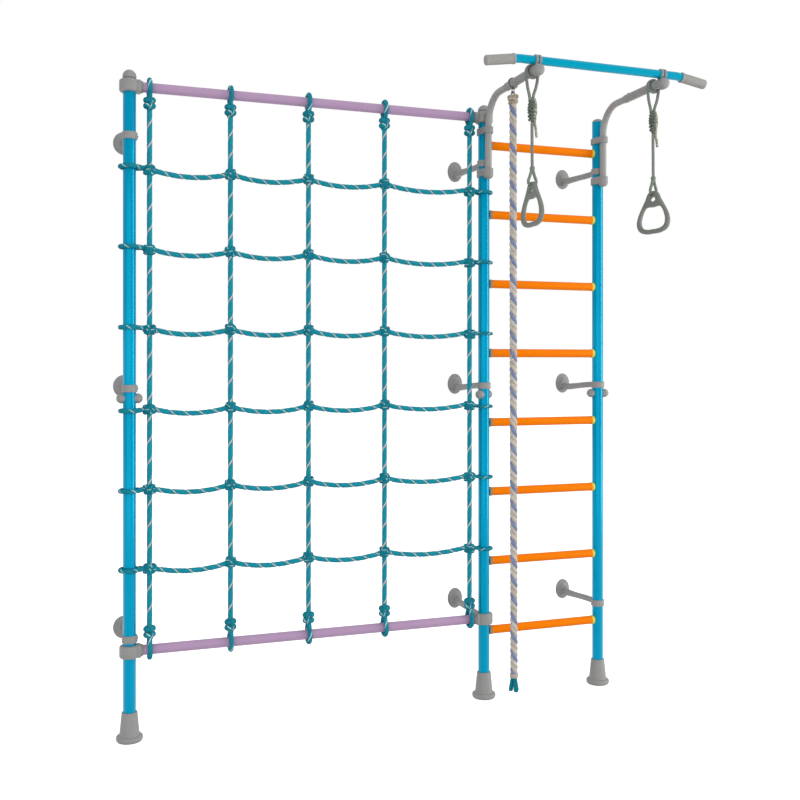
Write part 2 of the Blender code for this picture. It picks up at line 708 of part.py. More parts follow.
def make_bar_holder(side, x, plastic):
    """A sleeve over the arm's end, with a rounded nose and two straps round the pull-up bar."""
    holder = rod("bar_holder_" + side, HOLDER_RADIUS, (x, -HOLDER_START, ARM_TOP), (x, -HOLDER_NOSE, ARM_TOP),
                 ARM_SIDES)
    nose = turned("nose", arc((0.0, 0.0), NOSE_RADIUS, -66, 66, 4), ARM_SIDES)
    nose.location = (x, -HOLDER_NOSE, ARM_TOP - NOSE_DROP)
    pieces = [nose]
    offset = (STRAP_RING_GAP + STRAP_RING_WIDTH) / 2
    for sign in (-1, 1):
        centre = x + sign * offset
        pieces.append(rod("bar strap", BAR_RADIUS + STRAP_RING_WALL,
                          (centre - STRAP_RING_WIDTH / 2, -BAR_FORWARD, BAR_HEIGHT),
                          (centre + STRAP_RING_WIDTH / 2, -BAR_FORWARD, BAR_HEIGHT), BAR_SIDES))
    unite(holder, *pieces)
    arm_bore = rod("arm bore", ARM_RADIUS + GAP, (x, -0.9 * HOLDER_START, ARM_TOP),
                   (x, -HOLDER_SOCKET_END, ARM_TOP), ARM_SIDES)
    reach = 3 * NOSE_RADIUS
    bar_bore = rod("bar bore", BAR_RADIUS + GAP, (x - reach, -BAR_FORWARD, BAR_HEIGHT),
                   (x + reach, -BAR_FORWARD, BAR_HEIGHT), BAR_SIDES)
    cut(holder, arm_bore, bar_bore)
    paint(holder, plastic)


def bar_end(sign):
    """A bend of the pull-up bar and the direction of the grip beyond it."""
    x = POST_X["right"] + BAR_OVERHANG_RIGHT if sign > 0 else POST_X["middle"] - BAR_OVERHANG_LEFT
    bend = Vector((x, -BAR_FORWARD, BAR_HEIGHT))
    return bend, Vector((sign * GRIP_LENGTH, GRIP_BACK, -GRIP_DROP)).normalized()


def make_pull_up_bar(enamel):
    """The pull-up bar, its ends bent down and back."""
    path = []
    for sign in (-1, 1):
        bend, outward = bar_end(sign)
        end = [bend + outward * (GRIP_LENGTH - GRIP_END), bend + outward * 0.010,
               bend - Vector((sign * 0.010, 0, 0))]
        path += end if sign < 0 else end[::-1]
    bar = swept("pull_up_bar", path, BAR_RADIUS, BAR_SIDES, wall=BAR_WALL)
    paint(bar, enamel)


def make_grip(side, sign, rubber):
    """A ribbed grip with a collar and a closed end."""
    bend, outward = bar_end(sign)
    bore = BAR_RADIUS + 2 * GAP
    collar = GRIP_RADIUS + GRIP_COLLAR_WALL
    profile = [(bore, GRIP_START), (collar, GRIP_START), (collar, GRIP_START + GRIP_COLLAR)]
    first = GRIP_START + 1.6 * GRIP_COLLAR
    pitch = (GRIP_LENGTH - GRIP_END - first) / GRIP_RIBS
    for i in range(GRIP_RIBS):
        profile.append((GRIP_RADIUS - GRIP_RIB_DEPTH, first + i * pitch))
        profile.append((GRIP_RADIUS, first + (i + 0.5) * pitch))
    profile += [(GRIP_RADIUS, GRIP_LENGTH - 0.5 * GRIP_END), (0.8 * GRIP_RADIUS, GRIP_LENGTH), (0.0, GRIP_LENGTH)]
    profile += [(0.0, GRIP_LENGTH - GRIP_END + GAP), (bore, GRIP_LENGTH - GRIP_END + GAP)]
    grip = turned("grip_" + side, profile, BAR_SIDES, closed=True)
    grip.matrix_world = (Matrix.Translation(bend)
                         @ Vector((0, 0, 1)).rotation_difference(outward).to_matrix().to_4x4())
    paint(grip, rubber)


def row_height(row):
    """The height of the knots in a row of the net."""
    return NET_FIRST_ROW + row * NET_ROW_PITCH


def loop_points(toward, centre, knot, radius, count):
    """A loop round a post or a bar, drawn out to its knot; both are given in the loop's plane.

    The radius is the one that the loop's straight sides keep from the centre.
    """
    reach = math.hypot(knot[0] - centre[0], knot[1] - centre[1])
    facing = math.atan2(knot[1] - centre[1], knot[0] - centre[0])
    spread = math.acos(min(0.999, radius / reach))
    step = (2 * math.pi - 2 * spread) / count
    corner_radius = radius / math.cos(step / 2)
    points = [knot]
    for i in range(count):
        angle = facing + spread + step * (i + 0.5)
        points.append((centre[0] + corner_radius * math.cos(angle), centre[1] + corner_radius * math.sin(angle)))
    return [toward(*point) for point in points]


def net_loops():
    """The loops that tie the net to the posts and to the two bars."""
    loops = []
    around_post = POST_RADIUS + NET_ROPE_RADIUS + NET_LOOP_CLEARANCE
    around_bar = NET_BAR_RADIUS + NET_ROPE_RADIUS + NET_LOOP_CLEARANCE
    for row in range(NET_ROWS):
        for post, upright in (("left", NET_UPRIGHTS[0]), ("middle", NET_UPRIGHTS[-1])):
            x = POST_X[post]

            def level(a, b, row=row, x=x, upright=upright):
                share = min(1.0, abs(a - upright) / abs(x - upright))
                return Vector((a, b, row_height(row) - NET_LOOP_DROP * share))

            points = loop_points(level, (x, 0.0), (upright, 0.0), around_post, 6)
            loops.append(swept("post loop", points, NET_ROPE_RADIUS, NET_ROPE_SIDES, closed=True))
    for x in NET_UPRIGHTS:
        for z, knot_z in ((NET_BAR_HEIGHT["top"], TOP_END_KNOT), (NET_BAR_HEIGHT["bottom"], BOTTOM_END_KNOT)):

            def upright_plane(a, b, x=x):
                return Vector((x, a, b))

            points = loop_points(upright_plane, (0.0, z), (0.0, knot_z), around_bar, 5)
            loops.append(swept("bar loop", points, NET_ROPE_RADIUS, NET_ROPE_SIDES, closed=True))
    return loops


def net_knots():
    """Round knots where ropes cross, and two-lobed ones where an upright rope ends."""
    knots = []
    for row in range(NET_ROWS):
        for x in NET_UPRIGHTS:
            size = KNOT_WIDE if x in (NET_UPRIGHTS[0], NET_UPRIGHTS[-1]) else KNOT_ROUND
            knot = turned("knot", [(0.62, -1.0), (1.0, -0.42), (1.0, 0.42), (0.62, 1.0)], 6)
            knot.rotation_euler.z = math.radians(30)
            knot.scale = size
            knot.location = (x, 0, row_height(row))
            knots.append(knot)
    half = END_KNOT_HEIGHT
    for x in NET_UPRIGHTS:
        for z in (TOP_END_KNOT, BOTTOM_END_KNOT):
            profile = [(0.6, -1.0), (1.0, -0.5), (0.82, 0.0), (1.0, 0.5), (0.6, 1.0)]
            knot = turned("end knot", [(r * END_KNOT_WIDTH, h * half) for r, h in profile], 6)
            knot.location = (x, 0, z)
            knots.append(knot)
    return knots


def make_net(rope):
    """The climbing net: upright ropes, sagging rows, knots and loops, tied into one piece."""
    pieces = []
    for x in NET_UPRIGHTS:
        pieces.append(rod("upright", NET_ROPE_RADIUS, (x, 0, BOTTOM_END_KNOT), (x, 0, TOP_END_KNOT),
                          NET_ROPE_SIDES))
    for row in range(NET_ROWS):
        path = []
        for one, other in zip(NET_UPRIGHTS, NET_UPRIGHTS[1:]):
            steps = 3
            for i in range(steps):
                share = i / steps
                sag = 4 * NET_SAG * share * (1 - share)
                path.append((one + (other - one) * share, 0, row_height(row) - sag))
        path.append((NET_UPRIGHTS[-1], 0, row_height(row)))
        pieces.append(swept("row", path, NET_ROPE_RADIUS, NET_ROPE_SIDES))
    pieces += net_loops() + net_knots()
    net = pieces.pop(0)
    net.name = "climbing_net"
    unite_many(net, pieces)
    paint(net, rope)


def sling_pivot(side, x):
    """The centre of the bar holder's sleeve, which a ring's sling turns about."""
    return (x, -RING_FORWARD[side], ARM_TOP)


def make_sling(side, x, rope):
    """A rope loop over the bar holder, with a long knot and a short tail."""
    y = -RING_FORWARD[side]
    radius = HOLDER_RADIUS + RING_ROPE_RADIUS + SLING_CLEARANCE
    beside = 1.15 * RING_ROPE_RADIUS
    anchors = [(x + beside, y, SLING_KNOT_TOP - RING_ROPE_RADIUS),
               (x + (beside + radius) / 2, y, SLING_KNOT_TOP + 0.33 * SLING_DROP)]
    for i in range(7):
        angle = math.radians(-10 + 200 * i / 6)
        anchors.append((x + radius * math.cos(angle), y, ARM_TOP + radius * math.sin(angle)))
    anchors += [(x - (beside + radius) / 2, y, SLING_KNOT_TOP + 0.33 * SLING_DROP),
                (x - beside, y, SLING_KNOT_TOP - RING_ROPE_RADIUS)]
    sling = swept("ring_sling_" + side, anchors, RING_ROPE_RADIUS, 6)
    half = SLING_KNOT_LENGTH / 2
    knot = turned("knot", [(0.5, -1.0), (1.0, -0.5), (1.0, 0.4), (0.6, 1.0)], 10)
    knot.scale = (*SLING_KNOT_SIZE, half)
    knot.location = (x, y, SLING_KNOT_TOP - half)
    tail = swept("tail", [(x + 1.5 * RING_ROPE_RADIUS, y, SLING_KNOT_BOTTOM + 0.2 * SLING_TAIL_LENGTH),
                          (x + 2.75 * RING_ROPE_RADIUS, y, SLING_KNOT_BOTTOM - 0.35 * SLING_TAIL_LENGTH),
                          (x + 3.25 * RING_ROPE_RADIUS, y, SLING_KNOT_BOTTOM - SLING_TAIL_LENGTH)],
                 RING_ROPE_RADIUS, 6)
    unite(sling, knot, tail)
    paint(sling, rope)
    move_origin(sling, sling_pivot(side, x))


def make_ring_cord(side, x, rope):
    """The rope from the knot down to the ring: a strand, a clamp and an eye through the ring."""
    y = -RING_FORWARD[side]
    strand_x = x - RING_ROPE_RADIUS / 4
    clamp_z = (CORD_CLAMP_TOP + CORD_CLAMP_BOTTOM) / 2
    round_end = [(RING_ROPE_RADIUS * math.cos(turn), CORD_PIVOT + RING_ROPE_RADIUS * math.sin(turn))
                 for turn in (0.0, math.pi / 6, math.pi / 3)]
    cord = turned("ring_cord_" + side, [(RING_ROPE_RADIUS, clamp_z)] + round_end, 8)
    cord.location = (strand_x, y, 0.0)
    clamp = turned("clamp", [(0.8, -1.0), (1.0, -0.6), (1.0, 0.6), (0.8, 1.0)], 10)
    clamp.scale = (CORD_CLAMP_RADIUS, CORD_CLAMP_RADIUS, CORD_CLAMP_HEIGHT / 2)
    clamp.location = (strand_x, y, clamp_z)
    low = EYE_HEIGHT
    half = RING_THICKNESS / 2 + RING_ROPE_RADIUS + EYE_CLEARANCE
    anchors = [(1.15 * RING_ROPE_RADIUS, CORD_CLAMP_BOTTOM + 0.2 * CORD_CLAMP_HEIGHT),
               (0.6 * half, RING_TOP + 0.55 * EYE_LENGTH), (half, RING_TOP + 0.14 * EYE_LENGTH),
               (half, low + 1.25 * RING_ROPE_RADIUS), (half - 0.7 * RING_ROPE_RADIUS, low + 0.25 * RING_ROPE_RADIUS),
               (1.25 * RING_ROPE_RADIUS, low), (0.0, low)]
    outline = anchors + [(-a, b) for a, b in anchors[-2::-1]]
    turn = Matrix.Rotation(math.radians(RING_TURN[side]), 4, "Z")
    points = [turn @ Vector((a, 0, b)) + Vector((x, y, 0)) for a, b in outline]
    eye = swept("eye", points, RING_ROPE_RADIUS, 6)
    unite(cord, clamp, eye)
    paint(cord, rope)
    move_origin(cord, (x, y, CORD_PIVOT))


def outline_spline(curve, points):
    """Add a closed outline, mirrored left to right, to a flat curve."""
    mirrored = [(-a, b) for a, b in points[-2:0:-1]]
    outline = list(points) + mirrored
    spline = curve.splines.new("POLY")
    spline.points.add(len(outline) - 1)
    for target, (a, b) in zip(spline.points, outline):
        target.co = (a, -b, 0.0, 1.0)
    spline.use_cyclic_u = True


def oval(size, depth, count=12):
    """A half outline of an oval hole, from its top to its bottom."""
    half = count // 2
    angles = [math.pi * i / half for i in range(half + 1)]
    return [(size[0] * math.sin(a), depth - size[1] * math.cos(a)) for a in angles]


def make_ring(side, x, plastic):
    """A triangular ring with a hand opening, an oval hole and a slot for the cord's eye."""
    curve = bpy.data.curves.new("ring outline", "CURVE")
    curve.dimensions = "2D"
    curve.fill_mode = "BOTH"
    curve.extrude = RING_THICKNESS / 2 - RING_EDGE
    curve.bevel_depth = RING_EDGE
    curve.bevel_resolution = 0
    curve.offset = -RING_EDGE
    outline_spline(curve, RING_OUTLINE)
    outline_spline(curve, RING_OPENING)
    outline_spline(curve, oval(RING_HOLE_SIZE, RING_HOLE_DEPTH, 8))
    flat = bpy.data.objects.new("ring outline", curve)
    bpy.context.collection.objects.link(flat)
    bpy.context.view_layer.update()
    shape = bpy.data.meshes.new_from_object(flat.evaluated_get(bpy.context.evaluated_depsgraph_get()))
    bpy.data.objects.remove(flat)
    bm = bmesh.new()
    bm.from_mesh(shape)
    bmesh.ops.remove_doubles(bm, verts=bm.verts, dist=1e-5)
    ring = add_object("ring_" + side, mesh_from(bm, "ring"))
    y = -RING_FORWARD[side]
    ring.matrix_world = (Matrix.Translation((x, y, RING_TOP))
                         @ Matrix.Rotation(math.radians(RING_TURN[side] + 90), 4, "Z")
                         @ Matrix.Rotation(math.radians(90), 4, "X"))
    bpy.context.view_layer.update()
    slot = rod("slot", 1.0, (0, 0, -0.05), (0, 0, 0.05), 12)
    slot.matrix_world = (Matrix.Translation((x, y, EYE_HEIGHT - EYE_SLOT_DROP))
                         @ Matrix.Rotation(math.radians(RING_TURN[side]), 4, "Z")
                         @ Matrix.Rotation(math.radians(90), 4, "Y")
                         @ Matrix.Diagonal((EYE_SLOT_SIZE[1], EYE_SLOT_SIZE[0], 1.0, 1.0))
                         @ Matrix.Translation((0, 0, -0.05)))
    cut(ring, slot)
    paint(ring, plastic)
    move_origin(ring, (x, y, EYE_HEIGHT))


def make_climbing_rope(rope):
    """The hanging rope, as a plain tube."""
    curve = bpy.data.curves.new("climbing_rope", "CURVE")
    curve.dimensions = "3D"
    curve.bevel_depth = ROPE_RADIUS
    curve.bevel_resolution = 2
    curve.use_fill_caps = True
    spline = curve.splines.new("POLY")
    spline.points.add(ROPE_POINTS - 1)
    top = CROWN_BOTTOM - GAP
    for i, point in enumerate(spline.points):
        point.co = (0, 0, top + (ROPE_BOTTOM - top) * i / (ROPE_POINTS - 1) - ROPE_PIVOT, 1.0)
    obj = bpy.data.objects.new("climbing_rope", curve)
    bpy.context.collection.objects.link(obj)
    obj.location = (0, -ROPE_FORWARD, ROPE_PIVOT)
    paint(obj, rope)


def make_rope_crown(plastic):
    """The moulded end on top of the rope, with a wire staple."""
    profile = [(0.7, 0.0), (1.0, 0.13), (1.0, 0.67), (0.78, 0.93), (0.5, 1.0)]
    crown = turned("rope_crown", [(r * CROWN_RADIUS, CROWN_BOTTOM + h * CROWN_HEIGHT) for r, h in profile], 12)
    crown.location.y = -ROPE_FORWARD
    anchors = [(-STAPLE_HALF_WIDTH, CROWN_TOP - 0.2 * CROWN_HEIGHT),
               (-STAPLE_HALF_WIDTH, STAPLE_TOP - STAPLE_HALF_WIDTH),
               (-0.7 * STAPLE_HALF_WIDTH, STAPLE_TOP - 0.25 * STAPLE_HALF_WIDTH), (0.0, STAPLE_TOP)]
    outline = anchors + [(-a, b) for a, b in anchors[-2::-1]]
    path = [(a, -ROPE_FORWARD, b) for a, b in outline]
    unite(crown, swept("staple", path, WIRE_RADIUS, 6))
    paint(crown, plastic)
    move_origin(crown, (0, -ROPE_FORWARD, ROPE_PIVOT))


def make_rope_end(rope):
    """The whipping at the rope's lower end and the tassel below it."""
    whipping = ROPE_RADIUS + WHIPPING_WALL
    top = ROPE_BOTTOM - GAP
    neck = ROPE_BOTTOM - WHIPPING_LENGTH
    bottom = neck - TASSEL_LENGTH
    end = turned("rope_end", [(TASSEL_RADIUS, bottom), (0.84 * TASSEL_RADIUS, bottom + 0.4 * TASSEL_LENGTH),
                              (0.72 * TASSEL_RADIUS, bottom + 0.95 * TASSEL_LENGTH),
                              (whipping, neck), (whipping, top)], 12)
    end.location.y = -ROPE_FORWARD
    notch = block("notch", (3 * TASSEL_RADIUS, TASSEL_SPLIT, 0.75 * TASSEL_LENGTH), (0, -ROPE_FORWARD, bottom))
    cut(end, notch)
    paint(end, rope)
    move_origin(end, (0, -ROPE_FORWARD, ROPE_PIVOT))


def make_rope_hook(wire):
    """A wire ring over the holder's sleeve with a small ring that the staple hangs in."""
    y = -ROPE_FORWARD
    big = []
    for i in range(12):
        angle = 2 * math.pi * i / 12
        big.append((HOOK_RADIUS * math.cos(angle), y, ARM_TOP + HOOK_RADIUS * math.sin(angle)))
    hook = swept("rope_hook", big, HOOK_WIRE_RADIUS, 6, closed=True)
    small = []
    for i in range(8):
        angle = 2 * math.pi * i / 8
        small.append((0, y + HOOK_RING_RADIUS * math.cos(angle), HOOK_RING_HEIGHT + HOOK_RING_RADIUS * math.sin(angle)))
    unite(hook, swept("small ring", small, WIRE_RADIUS, 6, closed=True))
    paint(hook, wire)
    move_origin(hook, (0, y, ARM_TOP))


def main():
    clear_scene()
    blue = material("blue enamel", (0.0, 0.305, 0.552), 0.35)
    grey = material("grey plastic", (0.38, 0.37, 0.36), 0.5)
    purple = material("purple enamel", (0.456, 0.275, 0.521), 0.45)
    orange = material("orange enamel", (1.0, 0.212, 0.0), 0.5)
    dark_grey = material("ring plastic", (0.27, 0.29, 0.26), 0.5)
    net_rope = material("net rope", (0.0, 0.301, 0.423), 0.8)
    cord_rope = material("grey rope", (0.25, 0.27, 0.22), 0.85)
    rope = material("climbing rope", (0.69, 0.62, 0.56), 0.85)
    teal = material("rope end", (0.0, 0.301, 0.423), 0.8)
    wire = material("zinc wire", (0.6, 0.6, 0.6), 0.35, 1.0)
    for post in POST_X:
        make_post(post, blue)
        make_foot(post, grey)
        make_cap(post, grey)
        make_joint_bolt(post, grey)
    for level in NET_BAR_HEIGHT:
        make_net_bar(level, purple)
        for post in ("left", "middle"):
            make_net_clamp(post, level, grey)
    for post, level in BRACKET_BASE:
        make_bracket(post, level, grey)
    for index in range(RUNG_COUNT):
        make_rung(index, orange)
    for side, sign, x in (("left", -1, POST_X["middle"]), ("right", 1, POST_X["right"])):
        make_arm(side, x, grey)
        for level in ("upper", "lower"):
            make_arm_clamp(side, x, level, grey)
        make_bar_holder(side, x, grey)
        make_grip(side, sign, grey)
        make_sling(side, x, cord_rope)
        make_ring_cord(side, x, cord_rope)
        make_ring(side, x, dark_grey)
    make_pull_up_bar(blue)
    make_net(net_rope)
    make_climbing_rope(rope)
    make_rope_crown(grey)
    make_rope_end(teal)
    make_rope_hook(wire)


main()
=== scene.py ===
import math
import random

import bmesh
import bpy
from mathutils import Matrix, Vector


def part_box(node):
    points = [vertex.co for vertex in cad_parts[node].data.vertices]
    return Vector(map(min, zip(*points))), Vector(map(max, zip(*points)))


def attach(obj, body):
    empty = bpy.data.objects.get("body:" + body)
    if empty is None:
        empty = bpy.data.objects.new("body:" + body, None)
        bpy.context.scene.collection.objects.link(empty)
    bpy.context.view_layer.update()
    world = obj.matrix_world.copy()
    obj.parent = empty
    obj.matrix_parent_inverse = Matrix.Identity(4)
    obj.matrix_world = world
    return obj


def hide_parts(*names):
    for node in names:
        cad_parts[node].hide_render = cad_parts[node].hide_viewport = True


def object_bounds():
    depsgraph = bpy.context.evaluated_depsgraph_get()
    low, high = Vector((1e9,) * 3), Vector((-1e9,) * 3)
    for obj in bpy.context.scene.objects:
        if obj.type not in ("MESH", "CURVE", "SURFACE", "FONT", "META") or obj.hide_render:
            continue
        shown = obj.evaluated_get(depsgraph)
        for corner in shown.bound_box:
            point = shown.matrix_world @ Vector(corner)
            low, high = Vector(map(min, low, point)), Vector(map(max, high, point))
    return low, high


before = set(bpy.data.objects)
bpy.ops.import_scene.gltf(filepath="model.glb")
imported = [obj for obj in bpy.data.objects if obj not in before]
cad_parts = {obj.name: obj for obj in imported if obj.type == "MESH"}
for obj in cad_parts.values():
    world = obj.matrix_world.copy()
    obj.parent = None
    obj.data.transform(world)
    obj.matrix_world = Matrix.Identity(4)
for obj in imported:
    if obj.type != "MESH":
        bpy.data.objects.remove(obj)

CAD_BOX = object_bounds()


def middle_of(node):
    """The centre of a node's box."""
    low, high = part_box(node)
    return (low + high) / 2


# Posts, as the frame has them
POSTS = ("left", "middle", "right")
POST_X = {post: middle_of("post_" + post + "_upper").x for post in POSTS}
POST_RADIUS = 0.021
POST_WALL = 0.0016
POST_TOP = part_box("post_left_upper")[1].z
SEAM_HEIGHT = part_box("post_left_lower")[1].z
FOOT_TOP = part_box("foot_left")[1].z
WALL = CAD_BOX[1][1]

# Rungs and net bars
RUNG_COUNT = 8
RUNG_HEIGHTS = [middle_of("rung_" + str(i + 1)).z for i in range(RUNG_COUNT)]
RUNG_RADIUS = 0.0156
FERRULE_RADIUS = 0.0169
FERRULE_REACH = 0.031
NET_BAR_RADIUS = 0.0165
NET_BAR_HEIGHT = {level: middle_of("net_bar_" + level).z for level in ("top", "bottom")}
CLAMP_WALL = 0.012
CLAMP_HEIGHT = 0.042
CLAMP_SLIT = 0.003
SOCKET_RADIUS = 0.0202
SOCKET_END = 0.0430

# Wall brackets: the heights of the flange, of the strap's start and of the band
FLANGE_DEPTH = 0.016
FLANGE_SHAPE = {"left": (1.0, 1.08), "middle": (0.82, 1.07), "right": (0.82, 1.07)}
BAND_WALL = 0.0042
BAND_HEIGHT = 0.024
BRACKET_HEIGHTS = {
    ("left", "top"): (POST_TOP - 0.153, POST_TOP - 0.157, POST_TOP - 0.1872),
    ("middle", "top"): (POST_TOP - 0.172, POST_TOP - 0.186, POST_TOP - 0.195),
    ("right", "top"): (POST_TOP - 0.172, POST_TOP - 0.186, POST_TOP - 0.194),
    ("left", "middle"): (SEAM_HEIGHT + 0.001, SEAM_HEIGHT - 0.013, SEAM_HEIGHT),
    ("middle", "middle"): (SEAM_HEIGHT + 0.001, SEAM_HEIGHT - 0.013, SEAM_HEIGHT),
    ("right", "middle"): (SEAM_HEIGHT + 0.001, SEAM_HEIGHT - 0.013, SEAM_HEIGHT),
    ("left", "bottom"): (0.303, 0.313, 0.336),
    ("middle", "bottom"): (0.306, 0.300, 0.296),
    ("right", "bottom"): (0.306, 0.300, 0.314),
}

# Joint bolts
BOLT_DROP = 0.033
BOLT_TURN = {"left": 0.0, "middle": 31.0, "right": -14.0}

# Arms, their clamps and the bar holders
SIDES = {"left": "middle", "right": "right"}
ARM_RADIUS = 0.0125
ARM_OFFSET = 0.0405
ARM_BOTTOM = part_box("arm_left")[0].z
ARM_TOP = POST_TOP + 0.041
ARM_BEND_RADIUS = 0.10
ARM_REACH = 0.41
ARM_CLAMPS = {"upper": (POST_TOP - 0.087, POST_TOP - 0.065), "lower": (POST_TOP - 0.244, POST_TOP - 0.218)}
HOLDER_RADIUS = 0.015
HOLDER_START = 0.20
HOLDER_NOSE = 0.437
NOSE_RADIUS = 0.020
NOSE_DROP = 0.006

# Pull-up bar and grips
BAR_RADIUS = 0.01425
BAR_FORWARD = 0.430
BAR_HEIGHT = ARM_TOP + 0.0275
BAR_ENDS = {"left": POST_X["middle"] - 0.067, "right": POST_X["right"] + 0.062}
GRIP_RADIUS = 0.0168
GRIP_LENGTH = 0.120
GRIP_DROP = 0.0169
GRIP_BACK = 0.0068

# Net
NET_WIDTH = POST_X["middle"] - POST_X["left"]
NET_ROPE_RADIUS = 0.0090
NET_UPRIGHTS = [POST_X["left"] + NET_WIDTH * share for share in (0.0504, 0.2605, 0.4744, 0.6941, 0.9545)]
NET_ROWS = 6
NET_ROW_FIRST = NET_BAR_HEIGHT["bottom"] + 0.272
NET_ROW_LAST = NET_BAR_HEIGHT["top"] - 0.270
NET_SAG = 0.019
NET_LOOP_DROP = {"left": (0.003, 0.007, 0.008, -0.003, -0.004, -0.003),
                 "middle": (0.011, 0.009, 0.011, 0.005, 0.005, 0.009)}
NET_LOOP_RADIUS = {"left": 0.0080, "middle": 0.0064}
NET_KNOT_DROP = (0.004, 0.0, 0.0, 0.0, 0.008)
END_KNOTS = {"top": NET_BAR_HEIGHT["top"] - 0.0505, "bottom": NET_BAR_HEIGHT["bottom"] + 0.0595}
UPRIGHT_LAY = 0.070
ROW_LAY = 0.048

# Rings and their ropes
RING_FORWARD = {"left": 0.395, "right": 0.378}
RING_TURN = {"left": -0.5, "right": 11.0}
RING_LOWER = {"left": 0.0, "right": 0.0}
SLING_KNOT_RISE = {"left": 0.0, "right": 0.007}
SLING_TAIL_CUT = {"left": 0.007, "right": 0.014}
RING_ROPE_RADIUS = 0.0052
SLING_KNOT = (ARM_TOP - 0.172, ARM_TOP - 0.092)
SLING_TAIL = 0.056
CORD_CLAMP = (SLING_KNOT[0] - 0.161, SLING_KNOT[0] - 0.147)
RING_TOP = CORD_CLAMP[0] - 0.037
EYE_HEIGHT = RING_TOP - 0.0096
RING_THICKNESS = 0.016
RING_EDGE = 0.0062
RING_OUTLINE = ((0.0, 0.0), (0.019, 0.005), (0.036, 0.031), (0.052, 0.054), (0.065, 0.074),
                (0.0745, 0.095), (0.0770, 0.115), (0.067, 0.1365), (0.043, 0.1485), (0.0, 0.1515))
RING_OPENING = ((0.0, 0.058), (0.034, 0.058), (0.0435, 0.065), (0.0558, 0.088), (0.0597, 0.108),
                (0.0535, 0.1245), (0.036, 0.1325), (0.0, 0.1350))
RING_HOLE = ((0.0, 0.023), (0.010, 0.0255), (0.013, 0.030), (0.010, 0.0345), (0.0, 0.037))

# Climbing rope
ROPE_FORWARD = 0.248
ROPE_RADIUS = 0.0125
ROPE_LAY = -0.0657
ROPE_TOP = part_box("climbing_rope")[1].z
ROPE_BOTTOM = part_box("climbing_rope")[0].z
ROPE_PIVOT = ARM_TOP - 0.0321
TASSEL_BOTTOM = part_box("rope_end")[0].z
HOOK_RADIUS = 0.0182
HOOK_WIRE = 0.0025
HOOK_RING = 0.0085
HOOK_RING_HEIGHT = ARM_TOP - HOOK_RADIUS - HOOK_RING + 0.001

X_AXIS = Matrix.Rotation(math.radians(90), 4, "Y")
WALL_AXIS = Matrix.Rotation(math.radians(90), 4, "X")


def only(piece):
    """Select one piece and make it active."""
    bpy.ops.object.select_all(action="DESELECT")
    piece.select_set(True)
    bpy.context.view_layer.objects.active = piece


def settle(piece, place=None):
    """Put a piece at its place, with the place in its mesh."""
    if place is not None:
        piece.matrix_world = place
    only(piece)
    bpy.ops.object.transform_apply(location=True, rotation=True, scale=True)
    return piece


def copy_of(piece, name, place):
    """A copy with its own mesh, moved from the place of the first."""
    made = piece.copy()
    made.data = piece.data.copy()
    made.name = name
    bpy.context.collection.objects.link(made)
    return settle(made, place)


def joined(name, pieces):
    """Several meshes as one piece."""
    bpy.ops.object.select_all(action="DESELECT")
    for piece in pieces:
        piece.select_set(True)
    bpy.context.view_layer.objects.active = pieces[0]
    if len(pieces) > 1:
        bpy.ops.object.join()
    made = bpy.context.view_layer.objects.active
    made.name = name
    return made


def smooth(piece, angle=35):
    """Shade a piece smooth but for its edges."""
    only(piece)
    bpy.ops.object.shade_smooth_by_angle(angle=math.radians(angle))
    return piece


def round_edges(piece, width, segments=3, angle=30):
    """Round the edges of a piece."""
    only(piece)
    modifier = piece.modifiers.new("edges", "BEVEL")
    modifier.width = width
    modifier.segments = segments
    modifier.limit_method = "ANGLE"
    modifier.angle_limit = math.radians(angle)
    modifier.harden_normals = False
    bpy.ops.object.modifier_apply(modifier="edges")
    return piece


def cut_away(piece, tool):
    """Cut one piece out of another."""
    only(piece)
    modifier = piece.modifiers.new("cut", "BOOLEAN")
    modifier.operation = "DIFFERENCE"
    modifier.solver = "EXACT"
    modifier.object = tool
    bpy.ops.object.modifier_apply(modifier="cut")
    bpy.data.objects.remove(tool)
    return piece


def edit(piece, kind="FACE"):
    """Open a piece for editing with nothing selected."""
    only(piece)
    bpy.ops.object.mode_set(mode="EDIT")
    bpy.ops.mesh.select_mode(type=kind)
    bpy.ops.mesh.select_all(action="DESELECT")


def pick(piece, wanted):
    """Select the faces that a test wants, in edit mode."""
    bm = bmesh.from_edit_mesh(piece.data)
    for face in bm.faces:
        face.select_set(wanted(face))
    bm.select_flush(True)
    bmesh.update_edit_mesh(piece.data)


def close_edit():
    """Face everything outwards and leave edit mode."""
    bpy.ops.mesh.select_all(action="SELECT")
    bpy.ops.mesh.remove_doubles(threshold=1e-6)
    bpy.ops.mesh.normals_make_consistent(inside=False)
    bpy.ops.object.mode_set(mode="OBJECT")


def lathe(name, outline, sides=48, place=None, closed=False):
    """A turned body: its outline is drawn in (radius, height) points and spun about Z."""
    bpy.ops.object.select_all(action="DESELECT")
    bpy.ops.mesh.primitive_plane_add(size=0.01)
    piece = bpy.context.object
    piece.name = name
    bpy.ops.object.mode_set(mode="EDIT")
    bpy.ops.mesh.select_mode(type="VERT")
    bpy.ops.mesh.select_all(action="SELECT")
    bpy.ops.mesh.merge(type="CENTER")
    bpy.ops.transform.translate(value=(outline[0][0], 0, outline[0][1]))
    steps = list(outline) + ([outline[0]] if closed else [])
    for one, other in zip(steps, steps[1:]):
        move = (other[0] - one[0], 0, other[1] - one[1])
        bpy.ops.mesh.extrude_vertices_move(TRANSFORM_OT_translate={"value": move})
    bpy.ops.mesh.select_all(action="SELECT")
    bpy.ops.mesh.spin(steps=sides, angle=2 * math.pi, center=(0, 0, 0), axis=(0, 0, 1))
    close_edit()
    return settle(piece, place)


